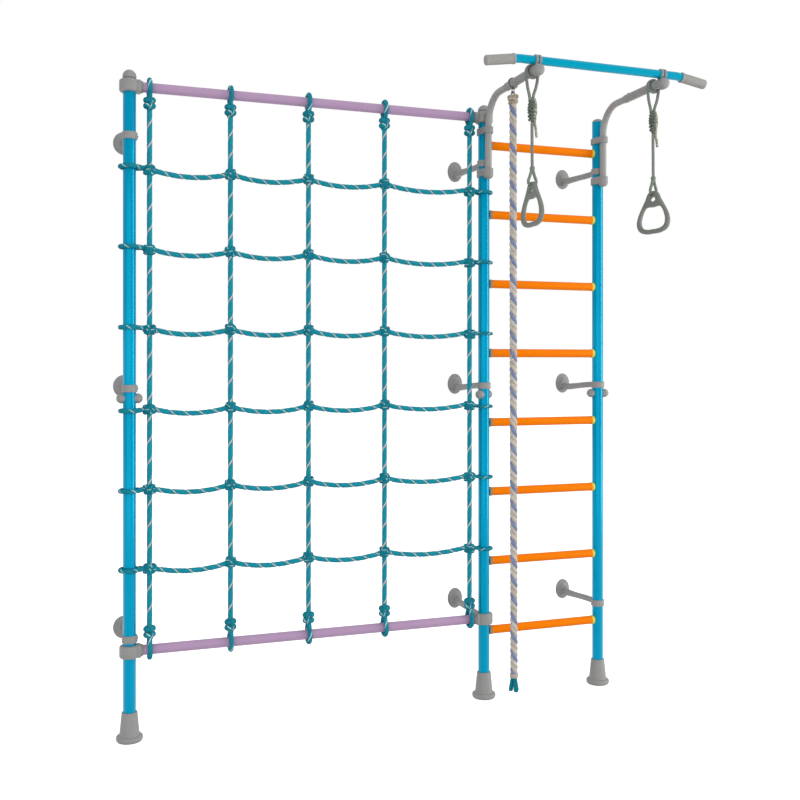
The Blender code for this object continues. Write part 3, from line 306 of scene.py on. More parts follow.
def rounded_outline(inner, outer, low, high, edge, steps=4):
    """The outline of a ring whose outer edges are rounded."""
    points = [(inner, low)]
    for corner, start in ((low + edge, -90), (high - edge, 0)):
        for i in range(steps + 1):
            turn = math.radians(start + 90 * i / steps)
            points.append((outer - edge + edge * math.cos(turn), corner + edge * math.sin(turn)))
    points.append((inner, high))
    return points


def arc_outline(centre, radius, start, end, steps):
    """Points on an arc of an outline, between two angles in degrees."""
    points = []
    for i in range(steps + 1):
        turn = math.radians(start + (end - start) * i / steps)
        points.append((centre[0] + radius * math.cos(turn), centre[1] + radius * math.sin(turn)))
    return points


def block(name, size, centre, edge=0.0, segments=3):
    """A block with rounded edges."""
    bpy.ops.object.select_all(action="DESELECT")
    bpy.ops.mesh.primitive_cube_add(size=1.0, location=centre)
    piece = bpy.context.object
    piece.name = name
    piece.scale = size
    settle(piece)
    if edge:
        round_edges(piece, edge, segments)
    return piece


def disc_start(name, radius, centre, direction, sides=40):
    """A filled circle to extrude from."""
    bpy.ops.object.select_all(action="DESELECT")
    turn = Vector(direction).to_track_quat("Z", "Y").to_euler()
    bpy.ops.mesh.primitive_circle_add(vertices=sides, radius=radius, fill_type="NGON", location=centre,
                                      rotation=turn)
    piece = bpy.context.object
    piece.name = name
    bpy.ops.object.mode_set(mode="EDIT")
    bpy.ops.mesh.select_mode(type="FACE")
    bpy.ops.mesh.select_all(action="SELECT")
    return piece


def push(move):
    """Extrude what is selected along a vector."""
    bpy.ops.mesh.extrude_region_move(TRANSFORM_OT_translate={"value": tuple(move)})


def bend(centre, axis, angle, steps):
    """Extrude what is selected round an axis."""
    bpy.ops.mesh.spin(steps=steps, angle=-angle, center=tuple(centre), axis=tuple(axis), use_auto_merge=False)


def close_tube(piece):
    """End the editing of an extruded tube and put its place in its mesh."""
    close_edit()
    return settle(piece)


def screw_head(name, radius, height):
    """A low round head with a round socket, on Z, to be copied."""
    bpy.ops.object.select_all(action="DESELECT")
    bpy.ops.mesh.primitive_cylinder_add(vertices=24, radius=radius, depth=height, location=(0, 0, height / 2))
    piece = bpy.context.object
    piece.name = name
    settle(piece)
    edit(piece)
    pick(piece, lambda face: face.normal.z > 0.9)
    bpy.ops.mesh.inset(thickness=0.22 * radius, depth=0.12 * radius)
    bpy.ops.mesh.inset(thickness=0.25 * radius)
    bpy.ops.mesh.inset(thickness=0.0001, depth=-0.5 * height)
    close_edit()
    return smooth(piece)


def even_path(anchors, spacing, closed=False):
    """Points at an even spacing on a smooth curve through the anchors."""
    points = [Vector(anchor) for anchor in anchors]
    count = len(points)
    fine = []
    spans = count if closed else count - 1
    for i in range(spans):
        if closed:
            before, one, other, after = (points[(i + k) % count] for k in (-1, 0, 1, 2))
        else:
            one, other = points[i], points[i + 1]
            before = points[i - 1] if i else one * 2 - other
            after = points[i + 2] if i + 2 < count else other * 2 - one
        for k in range(12):
            t = k / 12
            fine.append(0.5 * ((2 * one) + (other - before) * t + (2 * before - 5 * one + 4 * other - after) * t * t
                               + (3 * one - before - 3 * other + after) * t * t * t))
    fine.append(points[0] if closed else points[-1])
    lengths = [0.0]
    for one, other in zip(fine, fine[1:]):
        lengths.append(lengths[-1] + (other - one).length)
    steps = max(3, round(lengths[-1] / spacing))
    path = []
    at = 0
    for i in range(steps if closed else steps + 1):
        target = lengths[-1] * i / steps
        while at < len(lengths) - 2 and lengths[at + 1] < target:
            at += 1
        share = (target - lengths[at]) / max(lengths[at + 1] - lengths[at], 1e-9)
        path.append(fine[at].lerp(fine[at + 1], min(1.0, share)))
    return path


def carried_frames(path, closed):
    """Two cross directions at each point, carried along the path without a twist."""
    count = len(path)
    tangents = []
    for i in range(count):
        before = path[i - 1] if closed or i else path[0]
        after = path[(i + 1) % count] if closed or i < count - 1 else path[-1]
        tangents.append((after - before).normalized())
    side = tangents[0].orthogonal().normalized()
    frames = []
    for tangent in tangents + [tangents[0]]:
        side = (side - tangent * side.dot(tangent)).normalized()
        frames.append((side, tangent.cross(side)))
    last_side = frames.pop()[0]
    slip = math.atan2(last_side.dot(frames[0][1]), last_side.dot(frames[0][0]))
    return frames, slip


def rope(name, path, radius, lay=None, sides=16, groove=0.0, closed=False, turn=0.0, ends=1.0):
    """A rope on evenly spaced points. Its UV map runs round with the lay and along in metres."""
    frames, slip = carried_frames(path, closed)
    count = len(path)
    lengths = [0.0]
    for i in range(1, count + (1 if closed else 0)):
        lengths.append(lengths[-1] + (path[i % count] - path[i - 1]).length)
    total = lengths[-1]
    twist = 2 * math.pi * total / lay if lay else 0.0
    if closed:
        twist = 2 * math.pi * round(twist / (2 * math.pi)) - slip
    shape = []
    for k in range(sides):
        off = (k / sides - 0.5) / 0.085
        other = min(abs(k / sides - 0.17), abs(k / sides - 0.83)) / 0.06
        shape.append(radius * (1 - groove * math.exp(-off * off) - 0.25 * groove * math.exp(-other * other)))
    points = []
    for i in range(count):
        side, up = frames[i]
        start = turn + twist * lengths[i] / total
        size = ends if not closed and i in (0, count - 1) else 1.0
        for k in range(sides):
            angle = start + 2 * math.pi * k / sides
            points.append(path[i] + (side * math.cos(angle) + up * math.sin(angle)) * shape[k] * size)
    faces = []
    places = []
    for i in range(count if closed else count - 1):
        j = (i + 1) % count
        for k in range(sides):
            n = (k + 1) % sides
            faces.append((i * sides + k, i * sides + n, j * sides + n, j * sides + k))
            u0, u1 = k / sides, (k + 1) / sides
            v0, v1 = lengths[i], lengths[i + 1]
            places += [u0, v0, u1, v0, u1, v1, u0, v1]
    if not closed:
        for i, order in ((0, -1), (count - 1, 1)):
            centre = len(points)
            points.append(path[i])
            for k in range(sides):
                n = (k + 1) % sides
                pair = (i * sides + k, i * sides + n)[::order]
                faces.append((centre, *pair))
                places += [0.1, lengths[i], 0.1, lengths[i], 0.1, lengths[i]]
    mesh = bpy.data.meshes.new(name)
    mesh.from_pydata([tuple(p) for p in points], [], faces)
    layer = mesh.uv_layers.new(name="rope")
    layer.data.foreach_set("uv", places)
    mesh.shade_smooth()
    piece = bpy.data.objects.new(name, mesh)
    bpy.context.collection.objects.link(piece)
    return piece


def belongs(piece, surface, slot, body, *nodes):
    """Give a piece its material and body, and hide the nodes it stands for; its slot is not used."""
    if surface is not None:
        piece.data.materials.clear()
        piece.data.materials.append(surface)
    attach(piece, body)
    if nodes:
        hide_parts(*nodes)
    return piece


def linear(code):
    """An sRGB hex colour as linear light, with full alpha."""
    channels = [int(code[i:i + 2], 16) / 255 for i in (1, 3, 5)]
    return (*[c / 12.92 if c <= 0.04045 else ((c + 0.055) / 1.055) ** 2.4 for c in channels], 1.0)


def add_node(tree, kind, settings=None, inputs=None):
    """Add a node with its settings, and with values or links on its inputs."""
    node = tree.nodes.new(kind)
    for name, value in (settings or {}).items():
        setattr(node, name, value)
    for socket, value in (inputs or {}).items():
        if isinstance(value, bpy.types.NodeSocket):
            tree.links.new(value, node.inputs[socket])
        else:
            node.inputs[socket].default_value = value
    return node


# Sockets of the Mix node when it mixes colours
FACTOR, ONE, OTHER, MIXED = 0, 6, 7, 2
COLOURS = {"data_type": "RGBA"}


def new_material(name):
    """A material and its parts."""
    made = bpy.data.materials.new(name)
    made.use_nodes = True
    tree = made.node_tree
    return made, tree, tree.nodes["Principled BSDF"]


def coated_steel(name, colour, shade, glint, shine, peel, depth, roughness):
    """Powder coat on steel tube: an even colour with the shallow skin of cured powder."""
    made, tree, shader = new_material(name)
    shader.inputs["Specular Tint"].default_value = linear(glint)
    shader.inputs["Specular IOR Level"].default_value = shine
    shader.inputs["IOR"].default_value = 1.75 if shine > 0.9 else 1.5
    place = add_node(tree, "ShaderNodeTexCoord").outputs["Object"]
    drift = add_node(tree, "ShaderNodeTexNoise", inputs={"Vector": place, "Scale": 7.0, "Detail": 2.0})
    colours = add_node(tree, "ShaderNodeMix", COLOURS, {FACTOR: drift.outputs["Fac"], ONE: linear(colour),
                                                        OTHER: linear(shade)})
    tree.links.new(colours.outputs[MIXED], shader.inputs["Base Color"])
    skin = add_node(tree, "ShaderNodeTexNoise", inputs={"Vector": place, "Scale": 1 / peel, "Detail": 3.0,
                                                        "Roughness": 0.6})
    bump = add_node(tree, "ShaderNodeBump", inputs={"Strength": 0.5, "Distance": depth,
                                                    "Height": skin.outputs["Fac"]})
    tree.links.new(bump.outputs["Normal"], shader.inputs["Normal"])
    gloss = add_node(tree, "ShaderNodeMapRange", inputs={"Value": skin.outputs["Fac"], "To Min": roughness - 0.05,
                                                         "To Max": roughness + 0.07})
    tree.links.new(gloss.outputs["Result"], shader.inputs["Roughness"])
    return made


def moulded_plastic(name, colour, shade, grain, depth, roughness):
    """Injection-moulded plastic: a fine spark-eroded grain, with the colour a little cloudy."""
    made, tree, shader = new_material(name)
    place = add_node(tree, "ShaderNodeTexCoord").outputs["Object"]
    cloud = add_node(tree, "ShaderNodeTexNoise", inputs={"Vector": place, "Scale": 30.0, "Detail": 4.0})
    colours = add_node(tree, "ShaderNodeMix", COLOURS, {FACTOR: cloud.outputs["Fac"], ONE: linear(colour),
                                                        OTHER: linear(shade)})
    tree.links.new(colours.outputs[MIXED], shader.inputs["Base Color"])
    pits = add_node(tree, "ShaderNodeTexNoise", inputs={"Vector": place, "Scale": 1 / grain, "Detail": 2.0,
                                                        "Roughness": 0.7})
    bump = add_node(tree, "ShaderNodeBump", inputs={"Strength": 0.6, "Distance": depth,
                                                    "Height": pits.outputs["Fac"]})
    tree.links.new(bump.outputs["Normal"], shader.inputs["Normal"])
    gloss = add_node(tree, "ShaderNodeMapRange", inputs={"Value": cloud.outputs["Fac"],
                                                         "To Min": roughness - 0.06, "To Max": roughness + 0.08})
    tree.links.new(gloss.outputs["Result"], shader.inputs["Roughness"])
    return made


def laid_fibre(name, colour, shade, yarns, pitch, tracer=None, tracer_width=0.0, cream=None):
    """Twisted rope fibre: yarns that run across the lay, with painted shade between them over a cloudy tone, and a
    tracer yarn.
    """
    made, tree, shader = new_material(name)
    place = add_node(tree, "ShaderNodeUVMap", {"uv_map": "rope"}).outputs["UV"]
    parts = add_node(tree, "ShaderNodeSeparateXYZ", inputs={"Vector": place})
    around = add_node(tree, "ShaderNodeMath", {"operation": "MULTIPLY"}, {0: parts.outputs["X"],
                                                                          1: 2 * math.pi * yarns})
    along = add_node(tree, "ShaderNodeMath", {"operation": "MULTIPLY"}, {0: parts.outputs["Y"],
                                                                         1: 2 * math.pi / pitch})
    phase = add_node(tree, "ShaderNodeMath", {"operation": "ADD"}, {0: around.outputs[0], 1: along.outputs[0]})
    wave = add_node(tree, "ShaderNodeMath", {"operation": "SINE"}, {0: phase.outputs[0]})
    yarn = add_node(tree, "ShaderNodeMapRange", inputs={"Value": wave.outputs[0], "From Min": -1.0,
                                                        "From Max": 1.0})
    spot = add_node(tree, "ShaderNodeTexCoord").outputs["Object"]
    fuzz = add_node(tree, "ShaderNodeTexNoise", inputs={"Vector": spot, "Scale": 900.0, "Detail": 2.0})
    cloud = add_node(tree, "ShaderNodeTexNoise", inputs={"Vector": spot, "Scale": 45.0, "Detail": 3.0})
    mixed = add_node(tree, "ShaderNodeMath", {"operation": "MULTIPLY_ADD"}, {0: yarn.outputs[0], 1: 0.55,
                                                                             2: cloud.outputs["Fac"]})
    spread = add_node(tree, "ShaderNodeMapRange", inputs={"Value": mixed.outputs[0], "From Min": 0.3,
                                                          "From Max": 1.2})
    # The shade colour is painted shade in the grooves between the yarns, mixed with a cloudy tone
    fibre = add_node(tree, "ShaderNodeMix", COLOURS, {FACTOR: spread.outputs[0], ONE: linear(shade),
                                                      OTHER: linear(colour)})
    result = fibre.outputs[MIXED]
    if tracer is not None:
        away = add_node(tree, "ShaderNodeMath", {"operation": "SUBTRACT"}, {0: parts.outputs["X"], 1: 0.5})
        distance = add_node(tree, "ShaderNodeMath", {"operation": "ABSOLUTE"}, {0: away.outputs[0]})
        mask = add_node(tree, "ShaderNodeMapRange", {"interpolation_type": "SMOOTHSTEP"},
                        {"Value": distance.outputs[0], "From Min": tracer_width, "From Max": tracer_width * 0.6})
        marked = add_node(tree, "ShaderNodeMix", COLOURS, {FACTOR: mask.outputs[0], ONE: result,
                                                           OTHER: linear(tracer)})
        result = marked.outputs[MIXED]
    tree.links.new(result, shader.inputs["Base Color"])
    height = add_node(tree, "ShaderNodeMath", {"operation": "MULTIPLY_ADD"}, {0: fuzz.outputs["Fac"], 1: 0.35,
                                                                              2: yarn.outputs[0]})
    bump = add_node(tree, "ShaderNodeBump", inputs={"Strength": 0.7, "Distance": 0.0005,
                                                    "Height": height.outputs[0]})
    tree.links.new(bump.outputs["Normal"], shader.inputs["Normal"])
    shader.inputs["Roughness"].default_value = 0.72
    shader.inputs["Specular IOR Level"].default_value = 0.25
    return made


def braided_fibre(name, colour, shade, painted_highlight, carriers, pitch, painted_highlight_gain):
    """Braided cord: two sets of yarns that cross on slants, with painted shade where they sink and pale painted
    highlight flecks where they rise.
    """
    made, tree, shader = new_material(name)
    place = add_node(tree, "ShaderNodeUVMap", {"uv_map": "rope"}).outputs["UV"]
    parts = add_node(tree, "ShaderNodeSeparateXYZ", inputs={"Vector": place})
    around = add_node(tree, "ShaderNodeMath", {"operation": "MULTIPLY"}, {0: parts.outputs["X"],
                                                                          1: 2 * math.pi * carriers})
    along = add_node(tree, "ShaderNodeMath", {"operation": "MULTIPLY"}, {0: parts.outputs["Y"],
                                                                         1: 2 * math.pi / pitch})
    waves = []
    for operation in ("ADD", "SUBTRACT"):
        phase = add_node(tree, "ShaderNodeMath", {"operation": operation}, {0: around.outputs[0],
                                                                            1: along.outputs[0]})
        waves.append(add_node(tree, "ShaderNodeMath", {"operation": "SINE"}, {0: phase.outputs[0]}).outputs[0])
    weave = add_node(tree, "ShaderNodeMath", {"operation": "MAXIMUM"}, {0: waves[0], 1: waves[1]})
    rise = add_node(tree, "ShaderNodeMapRange", inputs={"Value": weave.outputs[0], "From Min": -0.6,
                                                        "From Max": 1.0})
    spot = add_node(tree, "ShaderNodeTexCoord").outputs["Object"]
    cloud = add_node(tree, "ShaderNodeTexNoise", inputs={"Vector": spot, "Scale": 210.0, "Detail": 2.0})
    # The shade colour is painted shade where the yarns sink into the weave
    body = add_node(tree, "ShaderNodeMix", COLOURS, {FACTOR: rise.outputs[0], ONE: linear(shade),
                                                     OTHER: linear(colour)})
    painted_highlight_spots = add_node(tree, "ShaderNodeMapRange", inputs={"Value": cloud.outputs["Fac"], "From Min": 0.62 - painted_highlight_gain,
                                                         "From Max": 0.70 - painted_highlight_gain})
    # Pale flecks only on the rising yarns: painted highlights
    lit = add_node(tree, "ShaderNodeMath", {"operation": "MULTIPLY"}, {0: painted_highlight_spots.outputs[0], 1: rise.outputs[0]})
    marked = add_node(tree, "ShaderNodeMix", COLOURS, {FACTOR: lit.outputs[0], ONE: body.outputs[MIXED],
                                                       OTHER: linear(painted_highlight)})
    tree.links.new(marked.outputs[MIXED], shader.inputs["Base Color"])
    bump = add_node(tree, "ShaderNodeBump", inputs={"Strength": 0.8, "Distance": 0.0006,
                                                    "Height": rise.outputs[0]})
    tree.links.new(bump.outputs["Normal"], shader.inputs["Normal"])
    shader.inputs["Roughness"].default_value = 0.75
    return made


def plated_steel(name, colour, shade, roughness):
    """Zinc-plated steel: a grey metal with the cloudy crystals of the plating."""
    made, tree, shader = new_material(name)
    place = add_node(tree, "ShaderNodeTexCoord").outputs["Object"]
    cloud = add_node(tree, "ShaderNodeTexNoise", inputs={"Vector": place, "Scale": 260.0, "Detail": 3.0})
    colours = add_node(tree, "ShaderNodeMix", COLOURS, {FACTOR: cloud.outputs["Fac"], ONE: linear(colour),
                                                        OTHER: linear(shade)})
    tree.links.new(colours.outputs[MIXED], shader.inputs["Base Color"])
    gloss = add_node(tree, "ShaderNodeMapRange", inputs={"Value": cloud.outputs["Fac"],
                                                         "To Min": roughness - 0.08, "To Max": roughness + 0.1})
    tree.links.new(gloss.outputs["Result"], shader.inputs["Roughness"])
    shader.inputs["Metallic"].default_value = 1.0
    return made


# Powder coat: glossy enough for one soft highlight along a tube, with a shallow orange peel
BLUE = coated_steel("powder-coated steel, blue", "#0092B8", "#008AB0", "#20C4F0", 1.0, 0.0016, 0.000006, 0.14)
# The pull-up bar wears the posts' blue paint, drawn lighter and more cyan as painted top light
BLUE_PAINTED_TOP_LIGHT = coated_steel("powder-coated steel, blue lightened as painted top light", "#00A2C0", "#009AB8", "#20C4F0", 0.9, 0.0016, 0.000006,
                        0.18)
PURPLE = coated_steel("powder-coated steel, purple", "#B798B9", "#B091B3", "#D8C0E0", 0.5, 0.0016, 0.000014, 0.42)
# The arms' coat is a pale grey, with a little more gloss than the mouldings
GREY_STEEL = coated_steel("powder-coated steel, grey", "#9F9E9C", "#979694", "#FFFFFF", 0.5, 0.0016, 0.000014, 0.34)
# The rungs' coat is rough so that a hand doesn't slip: wrinkles of about 2 mm
ORANGE = coated_steel("wrinkle-coated steel, orange", "#FC8202", "#F57B01", "#FF9A30", 0.4, 0.0020, 0.00012, 0.58)
# Polyamide mouldings: satin grey, grained
GREY = moulded_plastic("moulded polyamide, grey", "#969594", "#8D8C8B", 0.0012, 0.000022, 0.44)
RING_GREY = moulded_plastic("moulded polypropylene, dark grey", "#7B8078", "#727770", 0.0012, 0.000025, 0.36)
YELLOW = moulded_plastic("moulded polyethylene, yellow", "#E8D24A", "#E0C83E", 0.0008, 0.00004, 0.45)
# The left ferrules are the same yellow moulding, drawn tan as painted shade beside the post
YELLOW_IN_PAINTED_SHADE = moulded_plastic("moulded polyethylene, yellow darkened as painted shade", "#A08266", "#92765B", 0.0008, 0.00004, 0.50)
SOLE = moulded_plastic("moulded rubber, grey", "#7C7B7A", "#737271", 0.0010, 0.00008, 0.75)
# Grip rubber: pale and dull, with a coarse grain between the ribs
RUBBER = moulded_plastic("moulded rubber, pale grey", "#A6A4A0", "#9B9995", 0.0011, 0.00010, 0.66)
# Polypropylene rope: split-film yarns about 2 mm wide with painted shade between them, and one cream tracer yarn in the
# lay
NET_ROPE = laid_fibre("laid polypropylene rope, teal", "#06A0B4", "#018297", 24, 0.020, "#D3C8BE", 0.070)
# Knots and loops use the same rope with deeper painted shade in their crevices, and the tracer drawn pale cyan as
# painted highlight specks
KNOT_ROPE_PAINTED_LIGHT = laid_fibre("knotted polypropylene rope, teal", "#069CAE", "#016B80", 24, 0.020, "#C4DCE0", 0.055)
TUFT = laid_fibre("frayed polypropylene fibre, teal", "#06A2B6", "#017486", 6, 0.030)
# Climbing rope: soft spun yarns, cream and dusty blue, greyed in the hollows by painted shade
ROPE_CREAM = laid_fibre("laid cotton rope, cream", "#E2DAD0", "#B3A798", 14, 0.024)
ROPE_BLUE = laid_fibre("laid cotton rope, dusty blue", "#95A1C6", "#707DA2", 14, 0.024)
# The crown's outer wraps are the cream rope drawn tan as painted shade
CREAM_ROPE_IN_PAINTED_SHADE = laid_fibre("laid cotton rope, cream darkened as painted shade", "#C9BCA4", "#94876C", 14, 0.024)
# Braided cord of the rings: grey-green, with painted shade in the weave's hollows and pale painted highlight flecks on
# the rising yarns
CORD = braided_fibre("braided polyester cord, grey-green", "#8B9289", "#59645B", "#C4C3B0", 5, 0.010, 0.0)
# The knot's copies of the same cord: one with deeper painted shade and more, brighter painted highlight flecks, one
# darkened all over as painted shade
CORD_PAINTED_SHADE_AND_HIGHLIGHT = braided_fibre("braided polyester cord, knotted", "#9C9D8A", "#383F37", "#E6E2C8", 5, 0.010, 0.14)
CORD_IN_PAINTED_SHADE = braided_fibre("braided polyester cord, darkened as painted shade", "#687267", "#323B33", "#C6C8B2", 5, 0.010, 0.03)
# Small steel parts, bright zinc and blackened screws
ZINC = plated_steel("zinc-plated steel wire", "#969793", "#7E807C", 0.40)
DARK_STEEL = plated_steel("blackened steel screw", "#4A4B4A", "#3A3B3A", 0.42)


# The camera stands left of the object, at chest height
CAMERA_PLACE = (-1.5112, -3.3575, 1.2463)
CAMERA_YAW = -19.35
CAMERA_LENS = 44.16
CAMERA_SHIFT = -0.0459


def make_camera():
    """The camera at the photograph's viewing angle."""
    data = bpy.data.cameras.new("camera")
    data.lens = CAMERA_LENS
    data.sensor_width = 36.0
    data.shift_y = CAMERA_SHIFT
    camera = bpy.data.objects.new("camera", data)
    camera.location = CAMERA_PLACE
    camera.rotation_euler = (math.radians(90), 0, math.radians(CAMERA_YAW))
    bpy.context.collection.objects.link(camera)
    bpy.context.scene.camera = camera


make_camera()


def make_climbing_rope():
    """Three strands laid round each other, a wound crown, a whipping and a split tassel."""
    path = even_path([(0, -ROPE_FORWARD, ROPE_TOP + 0.012), (0.0015, -ROPE_FORWARD, 1.2),
                      (0.004, -ROPE_FORWARD, ROPE_BOTTOM - 0.002)], 0.0035)
    offset = 0.0064
    strands = []
    for number, surface in enumerate((ROPE_BLUE, ROPE_CREAM, ROPE_CREAM)):
        helix = []
        for point in path:
            turn = 2 * math.pi * (number / 3 + (path[0].z - point.z) / -ROPE_LAY) + 0.6
            helix.append(point + Vector((offset * math.cos(turn), offset * math.sin(turn), 0)))
        strand = rope("strand", helix, 0.0072, lay=0.045, sides=14, groove=0.04, ends=0.9)
        strand.data.materials.append(surface)
        strands.append(strand)
    laid = joined("climbing_rope_strands", strands)
    wraps = []
    # The top and bottom wraps of the crown are cream rope darkened as painted shade
    for height, tilt, wide, surface in ((0.0245, 5, 0.0142, CREAM_ROPE_IN_PAINTED_SHADE), (0.0145, -10, 0.0128, ROPE_CREAM),
                                        (0.0045, 10, 0.0112, CREAM_ROPE_IN_PAINTED_SHADE)):
        circle = []
        for i in range(16):
            turn = 2 * math.pi * i / 16
            circle.append(Vector((wide * math.cos(turn), wide * math.sin(turn),
                                  wide * math.cos(turn) * math.tan(math.radians(tilt)))))
        centre = Vector((0, -ROPE_FORWARD, ROPE_TOP + height))
        wrap = rope("wrap", even_path([centre + point for point in circle], 0.003, closed=True), 0.0062,
                    lay=0.03, sides=12, groove=0.05, closed=True)
        wrap.data.materials.append(surface)
        wraps.append(wrap)
    crown = joined("climbing_rope_crown", wraps)
    turns = []
    for i in range(5):
        ring = [Vector((0.004 + 0.0130 * math.cos(t), -ROPE_FORWARD + 0.0130 * math.sin(t),
                        ROPE_BOTTOM + 0.0045 - i * 0.0028))
                for t in (2 * math.pi * k / 24 for k in range(24))]
        turns.append(rope("turn", ring, 0.0016, sides=8, closed=True))
    whipping = joined("climbing_rope_whipping", turns)
    belongs(whipping, ROPE_CREAM, "climbing_rope", "rope")
    tassel = make_tassel()
    belongs(laid, None, "climbing_rope", "rope", "climbing_rope")
    belongs(crown, None, "climbing_rope", "rope", "rope_crown")
    belongs(tassel, TUFT, "net_rope", "rope", "rope_end")


def make_tassel():
    """Frayed fibre below the whipping, in three tufts that part at the bottom."""
    chance = random.Random(7)
    neck = ROPE_BOTTOM - 0.006
    fibres = []
    for tuft in range(3):
        heading = 2 * math.pi * tuft / 3 + 0.5
        for i in range(34):
            turn = chance.uniform(0, 2 * math.pi)
            reach = math.sqrt(chance.random())
            start = Vector((0.0058 * math.cos(heading) + 0.0048 * reach * math.cos(turn),
                            0.0058 * math.sin(heading) + 0.0048 * reach * math.sin(turn), 0))
            out = Vector((math.cos(heading), math.sin(heading), 0)) * 0.0044 + start * 0.60 + Vector((0.0015, 0, 0))
            low = TASSEL_BOTTOM + chance.uniform(0.000, 0.005)
            origin = Vector((0.004, -ROPE_FORWARD, 0))
            anchors = [origin + start + Vector((0, 0, neck + 0.004)),
                       origin + start * 1.12 + out * 0.25 + Vector((0, 0, neck - 0.35 * (neck - low))),
                       origin + start + out + Vector((0, 0, low))]
            fibres.append(rope("fibre", even_path(anchors, 0.008), 0.0014, sides=6))
    return joined("climbing_rope_tassel", fibres)


make_climbing_rope()


def make_hook():
    """A wire ring over the holder's sleeve, the small ring in it and the rope's staple."""
    bpy.ops.object.select_all(action="DESELECT")
    bpy.ops.mesh.primitive_torus_add(major_segments=56, minor_segments=14, major_radius=HOOK_RADIUS,
                                     minor_radius=HOOK_WIRE, location=(0, -ROPE_FORWARD, ARM_TOP),
                                     rotation=(math.radians(90), 0, 0))
    large = settle(bpy.context.object)
    bpy.ops.object.select_all(action="DESELECT")
    bpy.ops.mesh.primitive_torus_add(major_segments=40, minor_segments=12, major_radius=HOOK_RING,
                                     minor_radius=0.0021, location=(0, -ROPE_FORWARD, HOOK_RING_HEIGHT),
                                     rotation=(0, math.radians(90), 0))
    small = settle(bpy.context.object)
    hook = smooth(joined("rope_hook_wire", [large, small]), 60)
    belongs(hook, ZINC, "zinc_wire", "hook", "rope_hook")
    top = ROPE_PIVOT + 0.0026
    staple = rope("rope_staple", even_path([(-0.0065, -ROPE_FORWARD, top - 0.020), (-0.0065, -ROPE_FORWARD, top - 0.006),
                                            (-0.0045, -ROPE_FORWARD, top - 0.0015), (0, -ROPE_FORWARD, top),
                                            (0.0045, -ROPE_FORWARD, top - 0.0015),
                                            (0.0065, -ROPE_FORWARD, top - 0.006),
                                            (0.0065, -ROPE_FORWARD, top - 0.020)], 0.001), 0.0021, sides=12)
    belongs(staple, ZINC, "zinc_wire", "rope")


make_hook()


def make_sling(side):
    """A cord that goes twice round the holder's sleeve, and the long knot that ties it."""
    x = POST_X[SIDES[side]]
    y = -RING_FORWARD[side]
    around = HOLDER_RADIUS + RING_ROPE_RADIUS + 0.0005
    low, high = SLING_KNOT
    anchors = [(x + 0.0020, y, high - 0.012), (x + 0.0040, y - 0.001, high + 0.012),
               (x + 0.0140, y - 0.003, high + 0.045)]
    for i in range(16):
        turn = math.radians(-10 + 560 * i / 15)
        forward = y - 0.0042 + 0.0084 * i / 15
        anchors.append((x + around * math.cos(turn), forward, ARM_TOP + around * math.sin(turn)))
    anchors += [(x - 0.0170, y + 0.003, high + 0.045), (x - 0.0105, y + 0.001, high + 0.012),
                (x - 0.0070, y, high - 0.012)]
    path = even_path(anchors, 0.002)
    loop = rope("ring_sling_loop_" + side, path, RING_ROPE_RADIUS, sides=14)
    rise, short = SLING_KNOT_RISE[side], SLING_TAIL_CUT[side]
    wraps = []
    for middle, count, top, bottom, wide, thick, start in (
            (-0.0040, 7.0, high - 0.003 + rise, low + 0.004 + rise, 0.0080, 0.0046, 0.8),
            (0.0080, 4.5, high - 0.018 + rise, high - 0.060 + rise, 0.0058, 0.0043, 2.6)):
        coil = []
        for i in range(int(count * 14) + 1):
            share = i / (count * 14)
            turn = 2 * math.pi * count * share + start
            swell = wide * (0.66 + 0.40 * math.sin(math.pi * share) + 0.05 * math.sin(7 * turn / count))
            coil.append((x + middle + swell * math.cos(turn), y + 0.95 * swell * math.sin(turn),
                         top - (top - bottom) * share + 0.0022 * math.sin(turn + 9 * share)))
        wraps.append(rope("coil", even_path(coil, 0.0025), thick, sides=12, ends=0.6))
    # The first coil and the core take the cord darkened as painted shade; the second coil and the tail take the cord
    # with deeper painted shade and more painted highlights
    wraps[1].data.materials.append(CORD_PAINTED_SHADE_AND_HIGHLIGHT)
    wraps[0].data.materials.append(CORD_IN_PAINTED_SHADE)
    core = rope("core", even_path([(x - 0.004, y, high - 0.004), (x - 0.001, y, low + 0.003)], 0.004), 0.0062,
                sides=14, ends=0.5)
    core.data.materials.append(CORD_IN_PAINTED_SHADE)
    tail = rope("tail", even_path([(x + 0.0060, y - 0.003, high + 0.002), (x + 0.0115, y - 0.003, high - 0.018),
                                   (x + 0.0095, y - 0.004, high - 0.045), (x + 0.0085, y - 0.004, low + 0.014),
                                   (x + 0.0070, y - 0.004, low - 0.002), (x + 0.0115, y - 0.003, low - 0.020),
                                   (x + 0.0150, y - 0.002, low - SLING_TAIL + short)], 0.0025), 0.0045, sides=12)
    tail.data.materials.append(CORD_PAINTED_SHADE_AND_HIGHLIGHT)
    knot = joined("ring_sling_knot_" + side, wraps + [core, tail])
    belongs(loop, CORD, "grey_rope", side + "_sling", "ring_sling_" + side)
    belongs(knot, None, "grey_rope", side + "_sling", "ring_sling_" + side)


